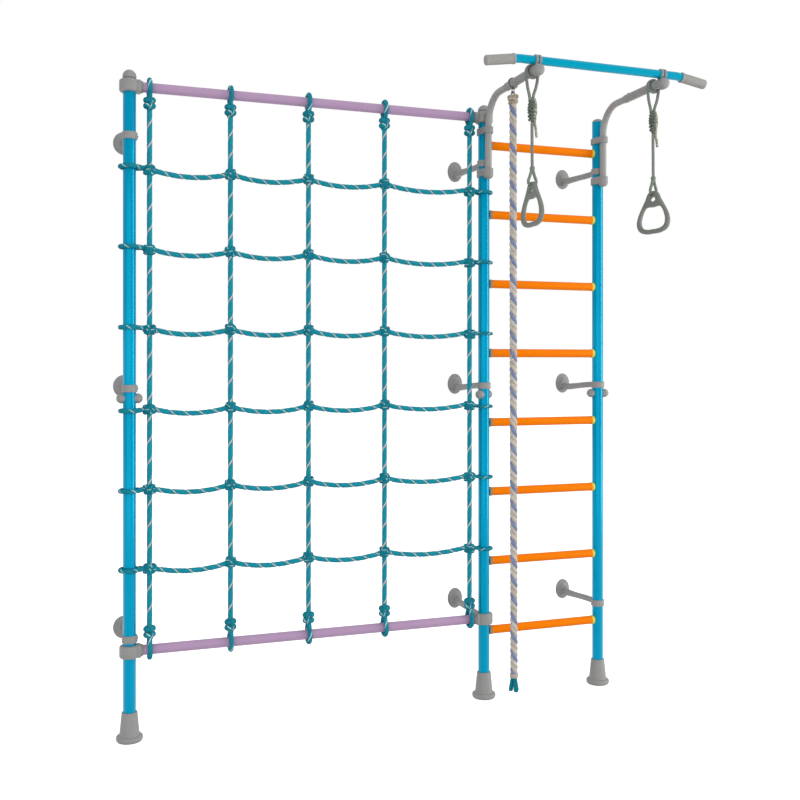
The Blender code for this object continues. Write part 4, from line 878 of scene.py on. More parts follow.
def make_ring_cord(side):
    """The cord from the knot down through the ring and back into its clamp."""
    x = POST_X[SIDES[side]]
    y = -RING_FORWARD[side]
    half = RING_THICKNESS / 2 + RING_ROPE_RADIUS + 0.0008
    low = EYE_HEIGHT - RING_LOWER[side]
    top = RING_TOP - RING_LOWER[side]
    turn = Matrix.Rotation(math.radians(RING_TURN[side]), 4, "Z")
    outline = [(0.0030, CORD_CLAMP[0] + 0.001), (0.6 * half, top + 0.020), (half, top + 0.005),
               (half, low + 0.005), (half - 0.003, low + 0.001), (0.005, low), (-0.005, low),
               (-half + 0.003, low + 0.001), (-half, low + 0.005), (-half, top + 0.005),
               (-0.6 * half, top + 0.020), (-0.0030, CORD_CLAMP[0] + 0.001)]
    eye = [turn @ Vector((a, 0, b)) + Vector((x, y, 0)) for a, b in outline]
    anchors = [(x - 0.001, y, SLING_KNOT[0] + 0.003), (x - 0.001, y, 2.02), (x - 0.0005, y, 1.97),
               (x, y, CORD_CLAMP[1] + 0.006)] + eye
    path = even_path(anchors, 0.002)
    cord = rope("ring_cord_rope_" + side, path, RING_ROPE_RADIUS, sides=14, ends=0.8)
    ferrule = lathe("ring_cord_clamp_" + side,
                    [(0.0, -0.0092), (0.0048, -0.0090), (0.0066, -0.0072), (0.0086, -0.0040), (0.0092, 0.0),
                     (0.0086, 0.0040), (0.0066, 0.0072), (0.0048, 0.0090), (0.0, 0.0092)], 32,
                    Matrix.Translation((x, y, sum(CORD_CLAMP) / 2)))
    belongs(cord, CORD, "grey_rope", side + "_cord", "ring_cord_" + side)
    belongs(smooth(ferrule), RING_GREY, "grey_rope", side + "_cord")


for side in SIDES:
    make_sling(side)
    make_ring_cord(side)


def row_height(row):
    """The height of the knots in a row of the net."""
    return NET_ROW_FIRST + (NET_ROW_LAST - NET_ROW_FIRST) * row / (NET_ROWS - 1)


def make_crossing_knot():
    """A knot where a row crosses an upright: one rope woven twice round itself, on Z at the origin."""
    anchors = []
    for i in range(36):
        turn = 4 * math.pi * i / 36
        wide = 0.0118 + 0.0024 * math.cos(1.5 * turn)
        anchors.append((wide * math.cos(turn), wide * math.sin(turn), 0.0118 * math.sin(1.5 * turn)))
    knot = rope("knot", even_path(anchors, 0.003, closed=True), 0.0072, lay=0.030, sides=14, groove=0.22,
                closed=True)
    band = [(0.0112 * math.cos(t), 0.0112 * math.sin(t), 0.0030 * math.sin(t + 0.6))
            for t in (2 * math.pi * k / 16 for k in range(16))]
    core = rope("core", even_path(band, 0.003, closed=True), 0.0086, lay=0.026, sides=14, groove=0.22, closed=True)
    return joined("knot", [knot, core])


def make_end_knot():
    """A knot at an upright's end: two turns laid on each other, with the rope drawn over them front and back."""
    turns = []
    for height, tilt, heading in ((0.0094, 3, 0.4), (-0.0094, -3, 2.2)):
        anchors = []
        for i in range(16):
            turn = 2 * math.pi * i / 16
            rise = 0.0114 * math.cos(turn - heading) * math.tan(math.radians(tilt))
            depth = 0.0110 - 0.0035 * math.sin(turn) ** 2
            anchors.append((0.0112 * math.cos(turn), depth * math.sin(turn), height + rise))
        turns.append(rope("turn", even_path(anchors, 0.003, closed=True), 0.0101, lay=0.04, sides=16, groove=0.12,
                          closed=True, turn=heading))
    for side in (-1, 1):
        anchors = [(0, 0, 0.027), (side * 0.001, side * 0.008, 0.0215), (side * 0.001, side * 0.0140, 0.011),
                   (side * 0.001, side * 0.0135, 0.0), (-side * 0.001, side * 0.0140, -0.011),
                   (-side * 0.001, side * 0.008, -0.0215), (0, 0, -0.027)]
        turns.append(rope("over", even_path(anchors, 0.003), 0.0058, lay=0.045, sides=14, groove=0.12,
                          turn=2.0 + side))
    return joined("end knot", turns)


def loop_anchors(centre, knot, radius, count, neck=0.62):
    """A loop round a post or a bar, drawn out to its knot, in the loop's own plane."""
    reach = math.hypot(knot[0] - centre[0], knot[1] - centre[1])
    facing = math.atan2(knot[1] - centre[1], knot[0] - centre[0])
    spread = math.acos(min(0.95, radius / (neck * reach)))
    across = (-math.sin(facing), math.cos(facing))
    points = []
    for sign in (1, -1):
        line = []
        for share, wide in ((0.97, 0.0020), (neck + 0.12, 0.0034)):
            spot = [c + share * (k - c) for c, k in zip(centre, knot)]
            line.append((spot[0] + sign * wide * across[0], spot[1] + sign * wide * across[1]))
        points.append(line)
    arc = []
    for i in range(count):
        angle = facing + spread + (2 * math.pi - 2 * spread) * i / (count - 1)
        arc.append((centre[0] + radius * math.cos(angle), centre[1] + radius * math.sin(angle)))
    return points[0] + arc + points[1][::-1]


def make_net():
    """Uprights, sagging rows, knots and loops, each rope with its tracer: cream on the uprights and rows, pale cyan
    painted highlight specks on the knots and loops.
    """
    low, high = END_KNOTS["bottom"], END_KNOTS["top"]
    for number, x in enumerate(NET_UPRIGHTS):
        path = even_path([(x, 0, low), (x, 0, high)], 0.004)
        upright = rope("net_upright_" + str(number + 1), path, NET_ROPE_RADIUS, lay=UPRIGHT_LAY, sides=20,
                       groove=0.10, turn=1.3 * number)
        belongs(upright, NET_ROPE, "net_rope", "frame", "climbing_net")
    crossing = make_crossing_knot()
    chance = random.Random(3)
    for row in range(NET_ROWS):
        height = row_height(row)
        anchors = []
        for one, other in zip(NET_UPRIGHTS, NET_UPRIGHTS[1:]):
            for i in range(8):
                share = i / 8
                anchors.append((one + (other - one) * share, 0, height - 4 * NET_SAG * share * (1 - share)))
        anchors.append((NET_UPRIGHTS[-1], 0, height))
        path = even_path(anchors, 0.0035)
        line = rope("net_row_" + str(row + 1), path, NET_ROPE_RADIUS, lay=ROW_LAY, sides=20, groove=0.24,
                    turn=0.9 * row)
        belongs(line, NET_ROPE, "net_rope", "frame", "climbing_net")
        knots = []
        for x in NET_UPRIGHTS:
            edge = x in (NET_UPRIGHTS[0], NET_UPRIGHTS[-1])
            size = (1.18, 1.0, 0.95) if edge else (1.0, 1.0, 1.03)
            low = height - NET_KNOT_DROP[NET_UPRIGHTS.index(x)]
            place = Matrix.Translation((x, 0, low)) @ Matrix.Diagonal((*size, 1.0))
            place = place @ Matrix.Rotation(chance.uniform(0, 2 * math.pi), 4, "Z")
            knots.append(copy_of(crossing, "knot", place))
        belongs(joined("net_knots_" + str(row + 1), knots), KNOT_ROPE_PAINTED_LIGHT, "net_rope", "frame", "climbing_net")
    bpy.data.objects.remove(crossing)
    end = make_end_knot()
    for level, height in END_KNOTS.items():
        knots = []
        for x in NET_UPRIGHTS:
            place = Matrix.Translation((x, 0, height)) @ Matrix.Rotation(chance.uniform(-0.5, 0.5), 4, "Z")
            knots.append(copy_of(end, "knot", place))
        belongs(joined("net_end_knots_" + level, knots), KNOT_ROPE_PAINTED_LIGHT, "net_rope", "frame", "climbing_net")
    bpy.data.objects.remove(end)
    make_net_loops()


def make_net_loops():
    """The loops that tie the net to the posts and to the bars."""
    for post, upright in (("left", NET_UPRIGHTS[0]), ("middle", NET_UPRIGHTS[-1])):
        loops = []
        x = POST_X[post]
        thick = NET_LOOP_RADIUS[post]
        around_post = POST_RADIUS + thick + 0.0004
        for row in range(NET_ROWS):
            height = row_height(row)
            anchors = []
            for a, b in loop_anchors((x, 0.0), (upright, 0.0), around_post, 14):
                share = min(1.0, 1.6 * abs(a - upright) / abs(x - upright))
                anchors.append((a, b, height - NET_LOOP_DROP[post][row] * share))
            loops.append(rope("loop", even_path(anchors, 0.0035), thick, lay=0.044 if post == "left" else -0.044,
                              sides=18, groove=0.22, turn=1.1 * row))
        belongs(joined("net_post_loops_" + post, loops), KNOT_ROPE_PAINTED_LIGHT, "net_rope", "frame", "climbing_net")
    around_bar = NET_BAR_RADIUS + NET_ROPE_RADIUS + 0.0004
    for level, knot in END_KNOTS.items():
        loops = []
        for number, x in enumerate(NET_UPRIGHTS):
            anchors = [(x, a, b) for a, b in loop_anchors((0.0, NET_BAR_HEIGHT[level]), (0.0, knot), around_bar, 12,
                                                          0.72)]
            loops.append(rope("loop", even_path(anchors, 0.0035), 0.0082, lay=0.075, sides=18, groove=0.12,
                              turn=1.7 * number))
        belongs(joined("net_bar_loops_" + level, loops), KNOT_ROPE_PAINTED_LIGHT, "net_rope", "frame", "climbing_net")


make_net()


def make_posts():
    """Tubes, feet, soles, caps and cross bolts of the three posts."""
    inner = POST_RADIUS - POST_WALL
    knob = lathe("knob", [(0.0, 0.010), (0.0140, 0.010), (0.0152, 0.0160), (0.0160, 0.0215), (0.0166, 0.0235)]
                 + [(0.0168 * math.cos(math.radians(a)), 0.0255 + 0.0172 * math.sin(math.radians(a)))
                    for a in range(0, 70, 10)]
                 + [(0.0052, 0.0417), (0.0047, 0.0409), (0.0, 0.0409)], 40)
    foot_outline = [(0.0, 0.0022), (0.0405, 0.0022), (0.0428, 0.0040), (0.0437, 0.0080), (0.0436, 0.0120),
                    (0.0425, 0.0155), (0.0400, 0.0178), (0.0365, 0.0190), (0.0338, 0.0200), (0.0328, 0.0222),
                    (0.0321, 0.0280),
                    (0.0256, FOOT_TOP - 0.0022), (0.0250, FOOT_TOP - 0.0005), (0.0240, FOOT_TOP),
                    (POST_RADIUS + 0.0004, FOOT_TOP), (POST_RADIUS + 0.0004, 0.014), (0.0, 0.014)]
    foot = lathe("foot", foot_outline, 64)
    sole = lathe("sole", rounded_outline(0.0, 0.0402, 0.0, 0.0036, 0.0012), 64)
    balls = {}
    for name, rise in (("left", 0.0092), ("middle", 0.0032)):
        balls[name] = lathe("ball", [(0.0, POST_TOP - 0.014), (inner - 0.0004, POST_TOP - 0.014),
                                     (inner - 0.0004, POST_TOP), (0.0190, POST_TOP + 0.0003), (0.0190, POST_TOP + 0.0020)]
                            + arc_outline((0.0, POST_TOP + rise), 0.0225, -12 if name == "left" else -3, 88, 14)
                            + [(0.0, POST_TOP + rise + 0.0225)], 56)
    dome = lathe("dome", [(0.0, POST_TOP - 0.014), (inner - 0.0004, POST_TOP - 0.014), (inner - 0.0004, POST_TOP)]
                 + [(r * 1.0, POST_TOP + 0.0004 + h * 0.64) for r, h in arc_outline((0.0, 0.0), 0.0211, 0, 88, 12)]
                 + [(0.0, POST_TOP + 0.0004 + 0.0211 * 0.64)], 56)
    for post in POSTS:
        x = POST_X[post]
        place = Matrix.Translation((x, 0, 0))
        seam = SEAM_HEIGHT
        lower = lathe("post_tube_" + post + "_lower", rounded_outline(inner, POST_RADIUS, 0.0145, seam, 0.0007), 64,
                      place, closed=True)
        upper = lathe("post_tube_" + post + "_upper", rounded_outline(inner, POST_RADIUS, seam + 0.0003, POST_TOP,
                                                                      0.0007), 64, place, closed=True)
        belongs(smooth(lower), BLUE, "blue_enamel", "frame", "post_" + post + "_lower")
        belongs(smooth(upper), BLUE, "blue_enamel", "frame", "post_" + post + "_upper")
        belongs(smooth(copy_of(foot, "foot_cup_" + post, place)), GREY, "grey_plastic", "frame", "foot_" + post)
        belongs(smooth(copy_of(sole, "foot_sole_" + post, place)), SOLE, "grey_plastic", "frame", "foot_" + post)
        top = balls.get(post, dome)
        belongs(smooth(copy_of(top, "post_cap_" + post, place)), GREY, "grey_plastic", "frame", "cap_" + post)
        turn = Matrix.Translation((x, 0, seam - BOLT_DROP)) @ Matrix.Rotation(math.radians(BOLT_TURN[post]), 4, "Z")
        knobs = []
        for angle in (-90, 90):
            knobs.append(copy_of(knob, "knob", turn @ Matrix.Rotation(math.radians(angle), 4, "Y")))
        belongs(smooth(joined("joint_knobs_" + post, knobs)), GREY, "grey_plastic", "frame", "joint_bolt_" + post)
    for piece in (knob, foot, sole, dome, *balls.values()):
        bpy.data.objects.remove(piece)


make_posts()


def make_net_bars():
    """The two tubes that carry the net, with their split clamps and screws."""
    ring_radius = POST_RADIUS + CLAMP_WALL
    half = CLAMP_HEIGHT / 2
    ring = lathe("ring", rounded_outline(POST_RADIUS + 0.0002, ring_radius, -half, half, 0.0075, 6), 64, closed=True)
    socket = lathe("socket", rounded_outline(NET_BAR_RADIUS + 0.0002, SOCKET_RADIUS, 0.028, SOCKET_END, 0.0018),
                   48, X_AXIS, closed=True)
    cut_away(ring, block("slit", (2 * CLAMP_WALL, CLAMP_SLIT, 1.2 * CLAMP_HEIGHT), (-ring_radius, 0, 0)))
    body = block("body", (0.0165, 0.046, CLAMP_HEIGHT - 0.0012), (0.0292, 0, 0), 0.0060, 4)
    clamp = joined("clamp", [ring, body, socket])
    screw = screw_head("screw", 0.0040, 0.0030)
    screw_out = Matrix.Translation((-0.0272, -0.0172, -0.0095)) @ Matrix.Rotation(math.radians(90), 4, "X")
    for level, height in NET_BAR_HEIGHT.items():
        bar = lathe("net_tube_" + level,
                    rounded_outline(NET_BAR_RADIUS - 0.0015, NET_BAR_RADIUS, 0.0238, NET_WIDTH - 0.0238, 0.0005), 56,
                    Matrix.Translation((POST_X["left"], 0, height)) @ X_AXIS, closed=True)
        belongs(smooth(bar), PURPLE, "purple_enamel", "frame", "net_bar_" + level)
        for post in ("left", "middle"):
            place = Matrix.Translation((POST_X[post], 0, height))
            if post == "middle":
                place = place @ Matrix.Rotation(math.pi, 4, "Z")
            node = "net_clamp_" + level + "_" + post
            made = copy_of(clamp, "net_clamp_body_" + level + "_" + post, place)
            if (post, level) == ("middle", "top"):
                cut_away(made, block("arm room", (0.06, 0.04, 0.03), (POST_X[post], -0.0483, height - 0.012)))
            belongs(smooth(made), GREY, "grey_plastic", "frame", node)
            turned = Matrix.Rotation(math.pi if post == "left" else 0.0, 4, "X")
            head = copy_of(screw, "net_clamp_screw_" + level + "_" + post, place @ turned @ screw_out)
            belongs(smooth(head), DARK_STEEL, "zinc_wire", "frame")
    for piece in (clamp, screw):
        bpy.data.objects.remove(piece)


make_net_bars()


def make_brackets():
    """Nine wall brackets: a domed flange, a strap that runs to the post, and a band with a lug and screw, left off
    where the strap meets a net clamp.
    """
    flange = lathe("flange", [(0.0, 0.0), (0.0366, 0.0), (0.0375, 0.0010), (0.0375, 0.0042), (0.0368, 0.0054)]
                   + [(0.0368 - 0.0205 * math.sin(math.radians(a)), 0.0054 + 0.0100 * (1 - math.cos(math.radians(a))))
                      for a in (15, 30, 45, 60, 75, 90)] + [(0.0148, 0.0168), (0.0, 0.0172)], 56)
    band = lathe("band", rounded_outline(POST_RADIUS + 0.0002, POST_RADIUS + BAND_WALL, -BAND_HEIGHT / 2,
                                         BAND_HEIGHT / 2, 0.0014), 64, closed=True)
    screw = screw_head("screw", 0.0032, 0.0022)
    for (post, level), (flange_z, strap_z, band_z) in BRACKET_HEIGHTS.items():
        x = POST_X[post]
        on_clamp = (post, level) == ("middle", "bottom")
        wide, tall = FLANGE_SHAPE[post]
        place = Matrix.Translation((x, WALL, flange_z)) @ Matrix.Diagonal((wide, 1.0, tall, 1.0)) @ WALL_AXIS
        pieces = [copy_of(flange, "flange", place)]
        start = WALL - 0.4 * FLANGE_DEPTH
        end = POST_RADIUS + (CLAMP_WALL if on_clamp else BAND_WALL) - 0.002
        length = start - end
        root = 0.056 if (post, level) == ("left", "top") else 0.026
        strap = block("strap", (0.0175, 0.008, root), (x, start - 0.004, strap_z))
        edit(strap)
        pick(strap, lambda face: face.normal.y < -0.9)
        steps = 10
        before = 0.0
        for i in range(1, steps + 1):
            share = i / steps
            blend = share * share * (3 - 2 * share)
            push((0, -(length - 0.008) / steps, (band_z - strap_z) * (blend - before)))
            if i < 4:
                bpy.ops.transform.resize(value=(0.885, 1, 1), center_override=(x, 0, 0))
            ratio = (root - (root - 0.021) * min(1.0, (i + 1) / 6)) / (root - (root - 0.021) * min(1.0, i / 6))
            middle = (0, 0, strap_z + (band_z - strap_z) * blend)
            bpy.ops.transform.resize(value=(1, 1, ratio), center_override=middle)
            before = blend
        close_edit()
        pieces.append(round_edges(strap, 0.0032, 3, 50))
        if not on_clamp:
            pieces.append(copy_of(band, "band", Matrix.Translation((x, 0, band_z))))
            pieces.append(block("lug", (0.0040, 0.0130, BAND_HEIGHT - 0.003),
                                (x + POST_RADIUS + BAND_WALL - 0.0012, 0.004, band_z), 0.0014))
        name = "wall_bracket_" + level + "_" + post
        belongs(smooth(joined("bracket_" + level + "_" + post, pieces)), GREY, "grey_plastic", "frame", name)
        if not on_clamp:
            head = copy_of(screw, "bracket_screw_" + level + "_" + post,
                           Matrix.Translation((x + POST_RADIUS + BAND_WALL + 0.0004, 0.004, band_z)) @ X_AXIS)
            belongs(smooth(head), DARK_STEEL, "zinc_wire", "frame")
    for piece in (flange, band, screw):
        bpy.data.objects.remove(piece)


make_brackets()


def make_rungs():
    """Eight rungs with a moulded ferrule at both ends."""
    left = POST_X["middle"]
    length = POST_X["right"] - left
    inside = POST_RADIUS - POST_WALL
    tube = lathe("tube", rounded_outline(0.0, RUNG_RADIUS, 0.024, length - 0.024, 0.0008), 48)
    ferrule = lathe("ferrule", rounded_outline(0.0, FERRULE_RADIUS, inside, FERRULE_REACH, 0.0016), 48)
    for number, height in enumerate(RUNG_HEIGHTS):
        name = "rung_" + str(number + 1)
        place = Matrix.Translation((left, 0, height)) @ X_AXIS
        belongs(smooth(copy_of(tube, name + "_tube", place)), ORANGE, "orange_enamel", "frame", name)
        # The left ferrule is the yellow moulding darkened as painted shade
        belongs(smooth(copy_of(ferrule, name + "_ferrule_left", place)), YELLOW_IN_PAINTED_SHADE, "orange_enamel", "frame")
        other = Matrix.Translation((POST_X["right"], 0, height)) @ Matrix.Rotation(math.pi, 4, "Z") @ X_AXIS
        belongs(smooth(copy_of(ferrule, name + "_ferrule_right", other)), YELLOW, "orange_enamel", "frame")
    for piece in (tube, ferrule):
        bpy.data.objects.remove(piece)


make_rungs()


def make_arm(side):
    """A bent arm, drawn up beside the post and bent out to the front."""
    x = POST_X[SIDES[side]]
    arm = disc_start("arm_tube_" + side, ARM_RADIUS, (x, -ARM_OFFSET, ARM_BOTTOM), (0, 0, 1))
    push((0, 0, ARM_TOP - ARM_BEND_RADIUS - ARM_BOTTOM))
    centre = (x, -ARM_OFFSET - ARM_BEND_RADIUS, ARM_TOP - ARM_BEND_RADIUS)
    bend(centre, (1, 0, 0), math.radians(90), 20)
    push((0, -(ARM_REACH - ARM_OFFSET - ARM_BEND_RADIUS), 0))
    close_tube(arm)
    belongs(smooth(arm, 50), GREY_STEEL, "grey_enamel", "frame", "arm_" + side)


def make_arm_clamp(side, level):
    """A two-eyed clamp round the post and the arm; the lower one carries the arm's end in a cup."""
    x = POST_X[SIDES[side]]
    low, high = ARM_CLAMPS[level]
    bpy.ops.object.select_all(action="DESELECT")
    bpy.ops.mesh.primitive_cylinder_add(vertices=48, radius=POST_RADIUS + 0.0055, depth=high - low,
                                        location=(x, 0, (low + high) / 2))
    clamp = bpy.context.object
    bpy.ops.object.mode_set(mode="EDIT")
    bpy.ops.mesh.primitive_cylinder_add(vertices=40, radius=ARM_RADIUS + 0.0055, depth=high - low,
                                        location=(x, -ARM_OFFSET, (low + high) / 2))
    bpy.ops.mesh.select_all(action="SELECT")
    bpy.ops.mesh.convex_hull()
    close_edit()
    settle(clamp)
    round_edges(clamp, 0.0024, 3, 50)
    pieces = [clamp]
    if level == "lower":
        eye = ARM_RADIUS + 0.0052
        outline = [(0.0, -0.0125), (0.35 * eye, -0.0121), (0.62 * eye, -0.0106), (0.82 * eye, -0.0080),
                   (0.93 * eye, -0.0045), (0.98 * eye, 0.0), (0.98 * eye, 0.004), (0.0, 0.004)]
        pieces.append(lathe("cup", outline, 40, Matrix.Translation((x, -ARM_OFFSET, low))))
    made = joined("arm_clamp_body_" + level + "_" + side, pieces)
    belongs(smooth(made), GREY, "grey_plastic", "frame", "arm_clamp_" + level + "_" + side)
    head = screw_head("arm_clamp_screw_" + level + "_" + side, 0.0036, 0.0028)
    out = Matrix.Translation((x + 0.0208, -0.026, (low + high) / 2)) @ Matrix.Rotation(math.radians(-13), 4, "Z")
    settle(head, out @ X_AXIS)
    belongs(head, DARK_STEEL, "zinc_wire", "frame")


def make_bar_holder(side):
    """A sleeve over the arm's end, with a full nose and two straps that close over the bar."""
    x = POST_X[SIDES[side]]
    along = Matrix.Translation((x, 0, ARM_TOP)) @ WALL_AXIS
    sleeve = lathe("sleeve", [(ARM_RADIUS + 0.0002, HOLDER_START), (0.0143, HOLDER_START), (0.0150, HOLDER_START + 0.0012),
                              (0.0152, HOLDER_START + 0.006), (0.0150, HOLDER_START + 0.012), (0.0150, HOLDER_NOSE),
                              (0.0, HOLDER_NOSE), (0.0, HOLDER_NOSE - 0.02), (ARM_RADIUS + 0.0002, HOLDER_NOSE - 0.02)],
                   40, along, closed=True)
    nose = lathe("nose", [(0.0, -0.0190), (0.0120, -0.0190), (0.0165, -0.0165), (0.0190, -0.0120), (0.0200, -0.0050),
                          (0.0201, 0.0030), (0.0192, 0.0095), (0.0168, 0.0145), (0.0125, 0.0178), (0.0065, 0.0193),
                          (0.0, 0.0197)], 40,
                 Matrix.Translation((x, -HOLDER_NOSE, ARM_TOP - NOSE_DROP)) @ WALL_AXIS)
    pieces = [sleeve, nose]
    for sign in (-1, 1):
        strap = lathe("strap", rounded_outline(BAR_RADIUS + 0.0002, BAR_RADIUS + 0.0044, -0.0040, 0.0040, 0.0016), 48,
                      Matrix.Translation((x + sign * 0.0065, -BAR_FORWARD, BAR_HEIGHT)) @ X_AXIS, closed=True)
        web = block("web", (0.0080, 0.022, 0.020), (x + sign * 0.0065, -BAR_FORWARD - 0.002, BAR_HEIGHT - 0.0215),
                    0.0022)
        pieces += [strap, web]
    made = joined("bar_holder_body_" + side, pieces)
    belongs(smooth(made), GREY, "grey_plastic", "frame", "bar_holder_" + side)
    screw = screw_head("bar_holder_screw_" + side, 0.0040, 0.0026)
    settle(screw, Matrix.Translation((x, -HOLDER_START - 0.018, ARM_TOP + 0.0146)))
    belongs(screw, DARK_STEEL, "zinc_wire", "frame")


for side in SIDES:
    make_arm(side)
    make_bar_holder(side)
    for level in ARM_CLAMPS:
        make_arm_clamp(side, level)


def make_pull_up_bar():
    """The pull-up bar with its bent ends, and the two ribbed grips."""
    left = Vector((BAR_ENDS["left"], -BAR_FORWARD, BAR_HEIGHT))
    right = Vector((BAR_ENDS["right"], -BAR_FORWARD, BAR_HEIGHT))
    halves = []
    outline = [(BAR_RADIUS + 0.0002, 0.016), (GRIP_RADIUS + 0.0010, 0.016), (GRIP_RADIUS + 0.0013, 0.0168),
               (GRIP_RADIUS + 0.0013, 0.0215), (GRIP_RADIUS + 0.0006, 0.0225)]
    ribs = 17
    first, last = 0.0245, GRIP_LENGTH - 0.010
    for i in range(ribs):
        at = first + (last - first) * i / ribs
        pitch = (last - first) / ribs
        outline += [(GRIP_RADIUS - 0.0008, at), (GRIP_RADIUS - 0.0001, at + 0.22 * pitch),
                    (GRIP_RADIUS, at + 0.5 * pitch), (GRIP_RADIUS - 0.0001, at + 0.78 * pitch)]
    outline += [(GRIP_RADIUS - 0.0006, last), (GRIP_RADIUS, last + 0.001), (GRIP_RADIUS, GRIP_LENGTH - 0.0035),
                (GRIP_RADIUS - 0.0010, GRIP_LENGTH - 0.0010), (GRIP_RADIUS - 0.0030, GRIP_LENGTH),
                (0.0070, GRIP_LENGTH), (0.0064, GRIP_LENGTH - 0.0010), (0.0, GRIP_LENGTH - 0.0010),
                (0.0, GRIP_LENGTH - 0.006), (BAR_RADIUS + 0.0002, GRIP_LENGTH - 0.006)]
    grip = lathe("grip", outline, 48, closed=True)
    middle = (left + right) / 2
    for sign, knee, side in ((-1, left, "left"), (1, right, "right")):
        outward = Vector((sign * GRIP_LENGTH, GRIP_BACK, -GRIP_DROP)).normalized()
        level = Vector((sign, 0, 0))
        axis = level.cross(outward).normalized()
        angle = level.angle(outward)
        radius = 0.12
        back = radius * math.tan(angle / 2)
        half = disc_start("half", BAR_RADIUS, middle, level, 48)
        push((knee - middle) - level * back)
        centre = knee - level * back + axis.cross(level) * radius
        bend(centre, axis, angle, 6)
        push(outward * (GRIP_LENGTH - 0.0065 - back))
        close_tube(half)
        halves.append(half)
        place = Matrix.Translation(knee) @ Vector((0, 0, 1)).rotation_difference(outward).to_matrix().to_4x4()
        belongs(smooth(copy_of(grip, "grip_rubber_" + side, place)), RUBBER, "grip_rubber", "frame", "grip_" + side)
    bpy.data.objects.remove(grip)
    bar = joined("pull_up_tube", halves)
    # The bar's blue is the posts' paint lightened as painted top light
    belongs(smooth(bar, 50), BLUE_PAINTED_TOP_LIGHT, "blue_enamel", "frame", "pull_up_bar")


make_pull_up_bar()


def ring_outline(curve, points, corners=()):
    """Add one closed outline of the ring, the same on both sides, with smooth bends."""
    outline = list(points) + [(-a, b) for a, b in points[-2:0:-1]]
    spline = curve.splines.new("BEZIER")
    spline.bezier_points.add(len(outline) - 1)
    spline.use_cyclic_u = True
    spline.resolution_u = 5
    for target, (a, b) in zip(spline.bezier_points, outline):
        target.co = (a, -b, 0.0)
        target.handle_left_type = "AUTO"
        target.handle_right_type = "AUTO"


def make_ring(side):
    """A moulded ring: rounded sides and lower bar, a web with an oval hole, and the cord's slot."""
    x = POST_X[SIDES[side]]
    y = -RING_FORWARD[side]
    curve = bpy.data.curves.new("ring outline", "CURVE")
    curve.dimensions = "2D"
    curve.fill_mode = "BOTH"
    curve.extrude = RING_THICKNESS / 2 - RING_EDGE
    curve.bevel_depth = RING_EDGE
    curve.bevel_resolution = 5
    curve.offset = -RING_EDGE
    for points in (RING_OUTLINE, RING_OPENING, RING_HOLE):
        ring_outline(curve, points)
    ring = bpy.data.objects.new("ring_handle_" + side, curve)
    bpy.context.collection.objects.link(ring)
    only(ring)
    bpy.ops.object.convert(target="MESH")
    ring = bpy.context.object
    edit(ring)
    close_edit()
    place = (Matrix.Translation((x, y, RING_TOP - RING_LOWER[side]))
             @ Matrix.Rotation(math.radians(RING_TURN[side] + 90), 4, "Z") @ WALL_AXIS)
    settle(ring, place)
    bpy.ops.object.select_all(action="DESELECT")
    bpy.ops.mesh.primitive_cylinder_add(vertices=32, radius=1.0, depth=0.08)
    slot = bpy.context.object
    slot.matrix_world = (Matrix.Translation((x, y, EYE_HEIGHT - RING_LOWER[side] - 0.0016))
                         @ Matrix.Rotation(math.radians(RING_TURN[side]), 4, "Z") @ X_AXIS
                         @ Matrix.Diagonal((0.0064, 0.0078, 1.0, 1.0)))
    settle(slot)
    cut_away(ring, slot)
    belongs(smooth(ring, 40), RING_GREY, "ring_plastic", side + "_ring_body", "ring_" + side)


for side in SIDES:
    make_ring(side)


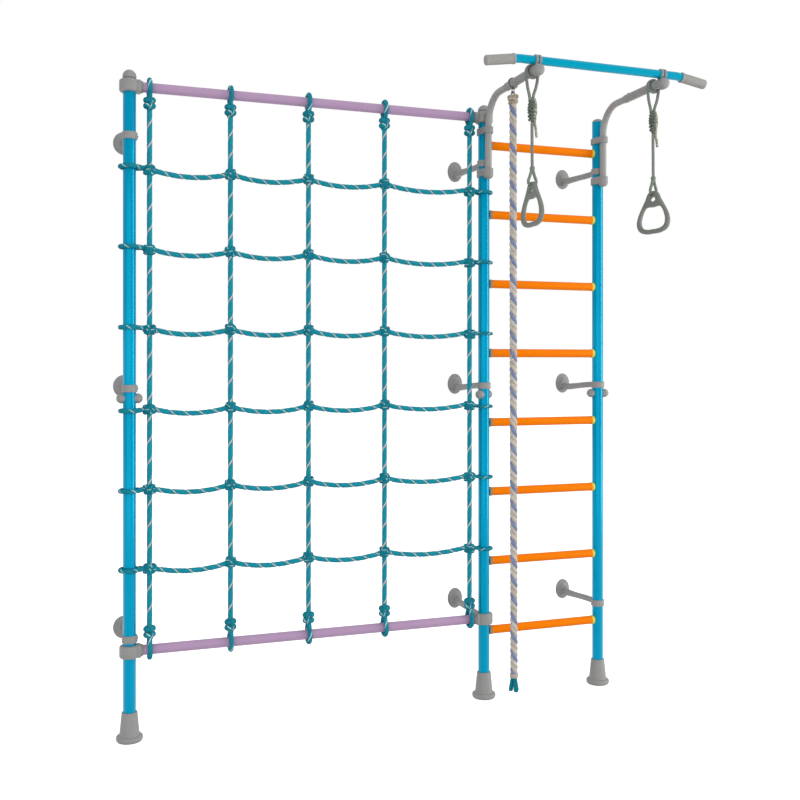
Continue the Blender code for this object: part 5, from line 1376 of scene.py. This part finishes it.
def make_stage():
    """A plain white floor that keeps the object's shadow, and a white sky."""
    bpy.ops.object.select_all(action="DESELECT")
    bpy.ops.mesh.primitive_plane_add(size=60.0, location=(0, 0, -0.0005))
    floor = bpy.context.object
    floor.name = "floor"
    made = bpy.data.materials.new("painted floor, white")
    made.use_nodes = True
    tree = made.node_tree
    tree.nodes.clear()
    rays = add_node(tree, "ShaderNodeLightPath")
    mirror = add_node(tree, "ShaderNodeMath", {"operation": "MAXIMUM"}, {0: rays.outputs["Is Camera Ray"],
                                                                         1: rays.outputs["Is Glossy Ray"]})
    matt = add_node(tree, "ShaderNodeBsdfDiffuse", inputs={"Color": linear("#D6D6D6")})
    glow = add_node(tree, "ShaderNodeEmission", inputs={"Color": linear("#FFFFFF"), "Strength": FLOOR_GLOW})
    lit = add_node(tree, "ShaderNodeAddShader", inputs={0: matt.outputs[0], 1: glow.outputs[0]})
    seen = add_node(tree, "ShaderNodeMixShader", inputs={0: mirror.outputs[0], 1: matt.outputs[0],
                                                         2: lit.outputs[0]})
    add_node(tree, "ShaderNodeOutputMaterial", inputs={"Surface": seen.outputs[0]})
    floor.data.materials.append(made)
    world = bpy.data.worlds.new("white sky")
    bpy.context.scene.world = world
    world.use_nodes = True
    tree = world.node_tree
    tree.nodes.clear()
    rays = add_node(tree, "ShaderNodeLightPath")
    mirror = add_node(tree, "ShaderNodeMath", {"operation": "MAXIMUM"}, {0: rays.outputs["Is Camera Ray"],
                                                                         1: rays.outputs["Is Transmission Ray"]})
    level = add_node(tree, "ShaderNodeMix", {"data_type": "FLOAT"}, {0: mirror.outputs[0], 2: SKY_LEVEL, 3: 1.0})
    sky = add_node(tree, "ShaderNodeBackground", inputs={"Color": linear("#FFFFFF"), "Strength": level.outputs[0]})
    add_node(tree, "ShaderNodeOutputWorld", inputs={"Surface": sky.outputs[0]})


def add_lamp(name, place, target, width, height, power):
    """A soft rectangular lamp that looks at a point."""
    data = bpy.data.lights.new(name, "AREA")
    data.shape = "RECTANGLE"
    data.size = width
    data.size_y = height
    data.energy = power
    lamp = bpy.data.objects.new(name, data)
    lamp.location = place
    lamp.rotation_euler = (Vector(target) - Vector(place)).to_track_quat("-Z", "Y").to_euler()
    bpy.context.collection.objects.link(lamp)


SKY_LEVEL = 0.70
FLOOR_GLOW = 0.80
make_stage()
CENTRE = (-0.35, 0.0, 1.15)
add_lamp("key lamp", (4.6, -2.5, 2.0), (-0.35, 0.0, 2.0), 2.4, 4.0, 118.0)
add_lamp("fill lamp", (-2.6, -5.2, 1.3), CENTRE, 8.0, 3.6, 95.0)
add_lamp("top lamp", (-0.4, -1.5, 6.5), CENTRE, 3.0, 3.0, 25.0)
bpy.context.scene.view_settings.view_transform = "Standard"
